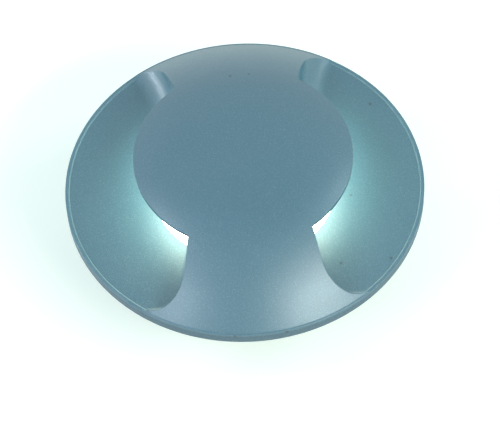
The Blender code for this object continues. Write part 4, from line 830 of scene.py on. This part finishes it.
def moulded_plastic(name, dark, light, worn, roughness, grain):
    """Moulded plastic: spark-eroded grain, flow clouds, scuffs and paler worn edges."""
    finish = Finish(name, specular=0.45)
    flow = finish.noise(11 * MM, detail=3)
    spark = finish.noise(grain, detail=3, roughness=0.65)
    scuff = (finish.streaks(1.6 * MM, (1.0, 1.0, 0.25)) * 6 - 3.7).clamp()
    wear = finish.edges(0.5 * MM) * (finish.noise(1.3 * MM) * 2 - 0.4).clamp()
    colour = finish.mix(flow, dark, light)
    colour = finish.mix(scuff * 0.35, colour, worn)
    finish.drive("Base Color", finish.mix(wear * 0.6, colour, worn))
    finish.drive("Roughness", roughness + spark * 0.16 + scuff * 0.08)
    finish.relief(spark, 0.035 * MM, rounding=0.3 * MM)
    return finish.material


def sleeve_plastic():
    """Dark sleeve plastic with dry mortar dust towards its foot."""
    finish = Finish("sleeve_plastic", specular=0.45)
    flow = finish.noise(13 * MM, detail=3)
    spark = finish.noise(0.35 * MM, detail=3, roughness=0.65)
    wear = finish.edges(0.6 * MM) * (finish.noise(1.5 * MM) * 2 - 0.4).clamp()
    low = (1 - finish.height() / (16 * MM)).clamp()
    dust = ((finish.noise(3.2 * MM, detail=5, roughness=0.7) * 3 - 1.5).clamp() * low).clamp()
    scratch = (finish.streaks(1.1 * MM, (1.0, 1.0, 0.12)) * 7 - 4.6).clamp()
    colour = finish.mix(flow, rgba(0.030, 0.032, 0.034), rgba(0.046, 0.048, 0.050))
    colour = finish.mix(scratch * 0.3, colour, rgba(0.11, 0.11, 0.115))
    colour = finish.mix(wear * 0.65, colour, rgba(0.12, 0.12, 0.125))
    finish.drive("Base Color", finish.mix(dust * 0.55, colour, rgba(0.24, 0.23, 0.21)))
    finish.drive("Roughness", 0.44 + spark * 0.16 + dust * 0.3)
    finish.relief(spark + dust * 0.6, 0.05 * MM, rounding=0.3 * MM)
    return finish.material


def cast_aluminium():
    """Die-cast aluminium: fine granular skin, cold-flow clouds and bright rubbed edges."""
    finish = Finish("cast_aluminium", specular=0.5)
    skin = finish.noise(0.45 * MM, detail=4, roughness=0.7)
    flow = finish.streaks(5 * MM, (1.0, 1.0, 0.5))
    pores = (finish.flakes(0.9 * MM) * 22 - 21).clamp()
    bright = finish.edges(0.5 * MM) * (finish.noise(1.2 * MM) * 2.2 - 0.5).clamp()
    colour = finish.mix(flow, rgba(0.42, 0.43, 0.445), rgba(0.56, 0.57, 0.585))
    colour = finish.mix(pores * 0.5, colour, rgba(0.16, 0.165, 0.17))
    finish.drive("Base Color", finish.mix(bright * 0.7, colour, rgba(0.78, 0.785, 0.79)))
    finish.drive("Metallic", 0.85 - pores * 0.5)
    finish.drive("Roughness", 0.40 + skin * 0.18 - bright * 0.12)
    finish.relief(skin - pores * 0.5, 0.05 * MM, rounding=0.3 * MM)
    return finish.material


def stainless_steel():
    """Rolled stainless steel: fine lengthways lines, faint heat tint and rubbed edges."""
    finish = Finish("stainless_steel", specular=0.5)
    lines = finish.streaks(0.22 * MM, (1.0, 1.0, 0.05))
    tint = finish.noise(4 * MM, detail=2)
    bright = finish.edges(0.2 * MM)
    colour = finish.mix(tint, rgba(0.50, 0.49, 0.47), rgba(0.62, 0.615, 0.60))
    colour = finish.mix(lines * 0.35, colour, rgba(0.36, 0.355, 0.35))
    finish.drive("Base Color", finish.mix(bright * 0.6, colour, rgba(0.82, 0.82, 0.81)))
    finish.drive("Metallic", 1 - lines * 0.08)
    finish.drive("Roughness", 0.20 + lines * 0.22)
    finish.relief(lines, 0.008 * MM, rounding=0.12 * MM)
    return finish.material


def nickel_plated_brass():
    """Nickel plate over brass: satin turned lines, and brass that shows at rubbed edges."""
    finish = Finish("nickel_plated_brass", specular=0.5)
    lines = finish.streaks(0.3 * MM, (0.08, 0.08, 1.0))
    cloud = finish.noise(3 * MM, detail=3)
    worn = finish.edges(0.22 * MM) * (finish.noise(0.9 * MM) * 2.4 - 0.8).clamp()
    colour = finish.mix(cloud, rgba(0.58, 0.55, 0.48), rgba(0.68, 0.65, 0.58))
    finish.drive("Base Color", finish.mix(worn * 0.7, colour, rgba(0.74, 0.52, 0.22)))
    finish.drive("Metallic", 1 - cloud * 0.06)
    finish.drive("Roughness", 0.20 + lines * 0.14 + cloud * 0.06)
    finish.relief(lines, 0.008 * MM, rounding=0.12 * MM)
    return finish.material


def seal_rubber():
    """Black rubber: dull skin with a pale bloom in patches and a fine pebble."""
    finish = Finish("seal_rubber", specular=0.3)
    pebble = finish.noise(0.25 * MM, detail=3)
    bloom = (finish.noise(2.6 * MM, detail=4) * 3 - 1.4).clamp()
    colour = finish.mix(pebble, rgba(0.012, 0.012, 0.013), rgba(0.022, 0.022, 0.023))
    finish.drive("Base Color", finish.mix(bloom * 0.3, colour, rgba(0.09, 0.09, 0.092)))
    finish.drive("Roughness", 0.62 + pebble * 0.14 + bloom * 0.12)
    finish.relief(pebble, 0.03 * MM, rounding=0.25 * MM)
    return finish.material


def board_white():
    """White solder mask over glass cloth: a faint weave and slightly yellowed patches."""
    finish = Finish("board_white", specular=0.5)
    warp = finish.streaks(0.35 * MM, (1.0, 0.12, 1.0))
    weft = finish.streaks(0.35 * MM, (0.12, 1.0, 1.0))
    aged = finish.noise(9 * MM, detail=2)
    weave = (warp + weft) * 0.5
    colour = finish.mix(aged, rgba(0.74, 0.74, 0.71), rgba(0.82, 0.82, 0.81))
    edge = finish.edges(0.3 * MM)
    colour = finish.mix(edge * 0.5, colour, rgba(0.52, 0.50, 0.38))
    finish.drive("Base Color", finish.mix(weave * 0.12, colour, rgba(0.60, 0.62, 0.60)))
    finish.drive("Roughness", 0.30 + weave * 0.12)
    finish.relief(weave, 0.012 * MM, rounding=0.15 * MM)
    return finish.material


def led_phosphor():
    """Lit phosphor gel over a row of small chips: a bright spot over each chip."""
    finish = Finish("led_phosphor", roughness=0.35, glow=1.4)
    spots = finish.signal("ShaderNodeTexVoronoi", "Distance", None,
                          {"Vector": finish.place(), "Scale": 1 / (2.4 * MM)})
    spot = (1 - spots * 1.6).clamp()
    gel = finish.noise(0.8 * MM, detail=3)
    colour = finish.mix(gel, rgba(0.80, 0.60, 0.10), rgba(0.90, 0.72, 0.18))
    finish.drive("Base Color", finish.mix(spot * 0.5, colour, rgba(0.95, 0.86, 0.45)))
    finish.drive("Emission Color", finish.mix(spot, rgba(0.85, 0.55, 0.16), rgba(1.0, 0.86, 0.55)))
    finish.relief(gel, 0.02 * MM, rounding=0.2 * MM)
    return finish.material


def insulation(name, dark, light, stripe=None):
    """Lead insulation: glossy with faint drawing lines, and a stripe where one is given."""
    finish = Finish(name, specular=0.5)
    lines = finish.streaks(0.2 * MM, (1.0, 1.0, 0.1))
    rub = (finish.noise(1.4 * MM, detail=3) * 3 - 1.5).clamp()
    colour = finish.mix(finish.noise(5 * MM), dark, light)
    if stripe:
        side = finish.signal("ShaderNodeSeparateXYZ", "Y", None,
                             {"Vector": finish.signal("ShaderNodeNewGeometry", "Normal")})
        colour = finish.mix((side * 20 - 4).clamp(), colour, stripe)
    finish.drive("Base Color", colour)
    finish.drive("Roughness", 0.28 + lines * 0.1 + rub * 0.12)
    finish.relief(lines, 0.006 * MM)
    return finish.material


# Moulded plastics: dark, light and worn colour, roughness, and size of the grain
PLASTICS = {
    "black_plastic": (rgba(0.018, 0.018, 0.019), rgba(0.028, 0.028, 0.030), rgba(0.09, 0.09, 0.092),
                      0.36, 0.25 * MM),
    "white_plastic": (rgba(0.70, 0.70, 0.67), rgba(0.78, 0.78, 0.755), rgba(0.60, 0.59, 0.54),
                      0.30, 0.3 * MM),
}

# Lead insulations: dark and light colour, and the stripe of the earth lead
INSULATIONS = {
    "brown_insulation": (rgba(0.115, 0.045, 0.018), rgba(0.15, 0.060, 0.026)),
    "blue_insulation": (rgba(0.020, 0.075, 0.27), rgba(0.030, 0.100, 0.34)),
    "green_insulation": (rgba(0.045, 0.24, 0.050), rgba(0.060, 0.29, 0.065), rgba(0.75, 0.62, 0.06)),
    "red_insulation": (rgba(0.42, 0.020, 0.018), rgba(0.50, 0.030, 0.025)),
    "black_insulation": (rgba(0.016, 0.016, 0.017), rgba(0.026, 0.026, 0.028)),
}


def finish_slots():
    """One finish for each material slot of the record."""
    finishes = {
        "silver_powder_coat": silver_powder_coat(),
        "sleeve_plastic": sleeve_plastic(),
        "opal_plastic": opal_glow(),
        "seal_rubber": seal_rubber(),
        "cast_aluminium": cast_aluminium(),
        "board_white": board_white(),
        "led_phosphor": led_phosphor(),
        "nickel_plated_brass": nickel_plated_brass(),
        "stainless_steel": stainless_steel(),
    }
    for name, looks in PLASTICS.items():
        finishes[name] = moulded_plastic(name, *looks)
    for name, colours in INSULATIONS.items():
        finishes[name] = insulation(name, *colours)
    return finishes


def add_piece(piece, body, node, slot, finishes):
    """Dress a piece in its slot's finish and let it stand for its node of the frame."""
    piece.data.materials.clear()
    piece.data.materials.append(finishes[slot])
    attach(piece, body)
    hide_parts(node)


# Stage

CAMERA_ELEVATION = math.radians(54.42)
CAMERA_DISTANCE = 13.13 * COVER_RADIUS
CAMERA_LENS = 168.98
CAMERA_ROLL = math.radians(3.05)
CAMERA_YAW = -0.0017
CAMERA_PITCH = -0.0091
CAMERA_AZIMUTH = math.radians(-2)
SENSOR_WIDTH = 36.0
CLIP_END = 20

# The backdrop starts to dim at this rise of the view, and dims over this span
DIM_START = 0.6
DIM_SPAN = 0.4

# Floor: its size, and where the painted mint shade round the object starts to fade and over what length,
# in metres
FLOOR_SIZE = 12
FLOOR_GRAIN = 0.8
PAINTED_SHADE_REACH = 0.3
PAINTED_SHADE_FADE = 0.8

# Lamps: name, place, size, power and colour, all aimed at one point
LAMP_AIM = (0, 0, 0.05)
LAMPS = (
    ("key_strip", (0.54, -0.62, 0.72), (0.66, 0.2), 7.2, (0.96, 0.96, 0.88)),
    ("front_left", (-0.60, -0.56, 0.68), (0.30, 0.26), 2.2, (0.92, 0.93, 1.0)),
    ("left", (-0.78, -0.05, 0.84), (0.3, 0.3), 3.2, (0.90, 0.91, 1.0)),
    ("low_left", (-0.98, 0.30, 0.20), (0.16, 0.16), 2.2, (0.92, 0.94, 1.0)),
    ("right", (0.82, 0.12, 0.72), (0.3, 0.3), 2.5, (0.84, 0.98, 1.0)),
)


def make_camera():
    """Camera from the fit of the rim and the cap's edge in the photograph."""
    place = Vector((0, -math.cos(CAMERA_ELEVATION), math.sin(CAMERA_ELEVATION))) * CAMERA_DISTANCE
    ahead = -place.normalized()
    right = ahead.cross(Vector((0, 0, 1))).normalized()
    up = right.cross(ahead)
    yaw = Matrix.Rotation(CAMERA_YAW, 3, up)
    ahead, right, up = yaw @ ahead, yaw @ right, yaw @ up
    pitch = Matrix.Rotation(CAMERA_PITCH, 3, right)
    ahead, right, up = pitch @ ahead, pitch @ right, pitch @ up
    roll = Matrix.Rotation(CAMERA_ROLL, 3, ahead)
    right, up = roll @ right, roll @ up
    data = bpy.data.cameras.new("camera")
    data.sensor_fit = "HORIZONTAL"
    data.sensor_width = SENSOR_WIDTH
    data.lens = CAMERA_LENS
    data.clip_end = CLIP_END
    camera = bpy.data.objects.new("camera", data)
    bpy.context.scene.collection.objects.link(camera)
    axes = Matrix((right, up, -ahead)).transposed().to_4x4()
    swing = Matrix.Rotation(CAMERA_AZIMUTH, 4, "Z")
    camera.matrix_world = (Matrix.Translation((0, 0, COVER_Z)) @ swing
                           @ Matrix.Translation(place) @ axes)
    bpy.context.scene.camera = camera


def make_lamp(name, place, size, power, colour):
    """A rectangular area light, aimed at the object."""
    data = bpy.data.lights.new(name, "AREA")
    data.shape = "RECTANGLE"
    data.size, data.size_y = size
    data.energy = power
    data.color = colour
    light = bpy.data.objects.new(name, data)
    bpy.context.scene.collection.objects.link(light)
    light.location = place
    light.rotation_euler = (Vector(LAMP_AIM) - Vector(place)).to_track_quat("-Z", "Y").to_euler()


def shown_rays(finish):
    """1 for rays that show the background: camera, glossy and transmission rays."""
    path = finish.node("ShaderNodeLightPath")
    seen = Signal(finish, path.outputs["Is Camera Ray"])
    for name in ("Is Glossy Ray", "Is Transmission Ray"):
        seen = seen.sum("MAXIMUM", seen, Signal(finish, path.outputs[name]))
    return seen


class Surroundings(Finish):
    """The world's nodes, added and linked in the same way as a material's."""

    def __init__(self, name):
        world = bpy.data.worlds.new(name)
        bpy.context.scene.world = world
        world.use_nodes = True
        self.tree = world.node_tree
        self.shader = self.tree.nodes["Background"]


def make_world():
    """White background, dimmer overhead, and for other rays a soft light, brighter at the back."""
    finish = Surroundings("studio")
    direction = finish.signal("ShaderNodeTexCoord", "Generated")
    up = finish.signal("ShaderNodeSeparateXYZ", "Z", None, {"Vector": direction})
    back = finish.signal("ShaderNodeSeparateXYZ", "Y", None, {"Vector": direction})
    overhead = ((up - DIM_START) / DIM_SPAN).clamp()
    backdrop = finish.mix(overhead, rgba(1, 1, 1), rgba(0.55, 0.57, 0.58))
    soft = finish.mix(back * 0.5 + 0.5, rgba(0.27, 0.28, 0.29), rgba(0.56, 0.61, 0.64))
    finish.drive("Color", finish.mix(shown_rays(finish), soft, backdrop))


def make_floor():
    """Pale studio floor that takes the object's shadow, with painted mint shade round the object, where
    it glows less for shown rays.
    """
    deselect()
    bpy.ops.mesh.primitive_plane_add(size=FLOOR_SIZE, location=(0, 0, 0))
    floor = bpy.context.object
    floor.name = "studio_floor"
    finish = Finish("studio_floor", roughness=0.9, glow=1.0)
    cloud = finish.noise(FLOOR_GRAIN)
    finish.drive("Base Color", finish.mix(cloud, rgba(0.80, 0.80, 0.80), rgba(0.82, 0.82, 0.82)))
    # Painted shade: round the object the floor glows less, and mint, for shown rays, so it shows darker
    # there
    far = ((finish.distance((0, 0, 0)) - PAINTED_SHADE_REACH) / PAINTED_SHADE_FADE).clamp()
    pale = finish.mix(far, rgba(0.25, 0.37, 0.305), rgba(0.66, 0.65, 0.65))
    finish.drive("Emission Color", finish.mix(shown_rays(finish), rgba(0, 0, 0), pale))
    floor.data.materials.append(finish.material)


make_camera()
make_world()
make_floor()
for lamp in LAMPS:
    make_lamp(*lamp)

finishes = finish_slots()
bodies = frame["record"]["behaviour"]["bodies"]
node_body = {name: body for body, names in bodies.items() for name in names}
for subpart in frame["record"]["subparts"]:
    node = subpart["node"]
    if node == "cover":
        made = make_cover()
    elif node == "recess_sleeve":
        made = make_sleeve()
    elif node == "housing":
        made = make_housing()
    else:
        made = smooth_copy(node)
    add_piece(made, node_body[node], node, subpart["material_slot"], finishes)

bpy.context.scene.view_settings.view_transform = "Standard"
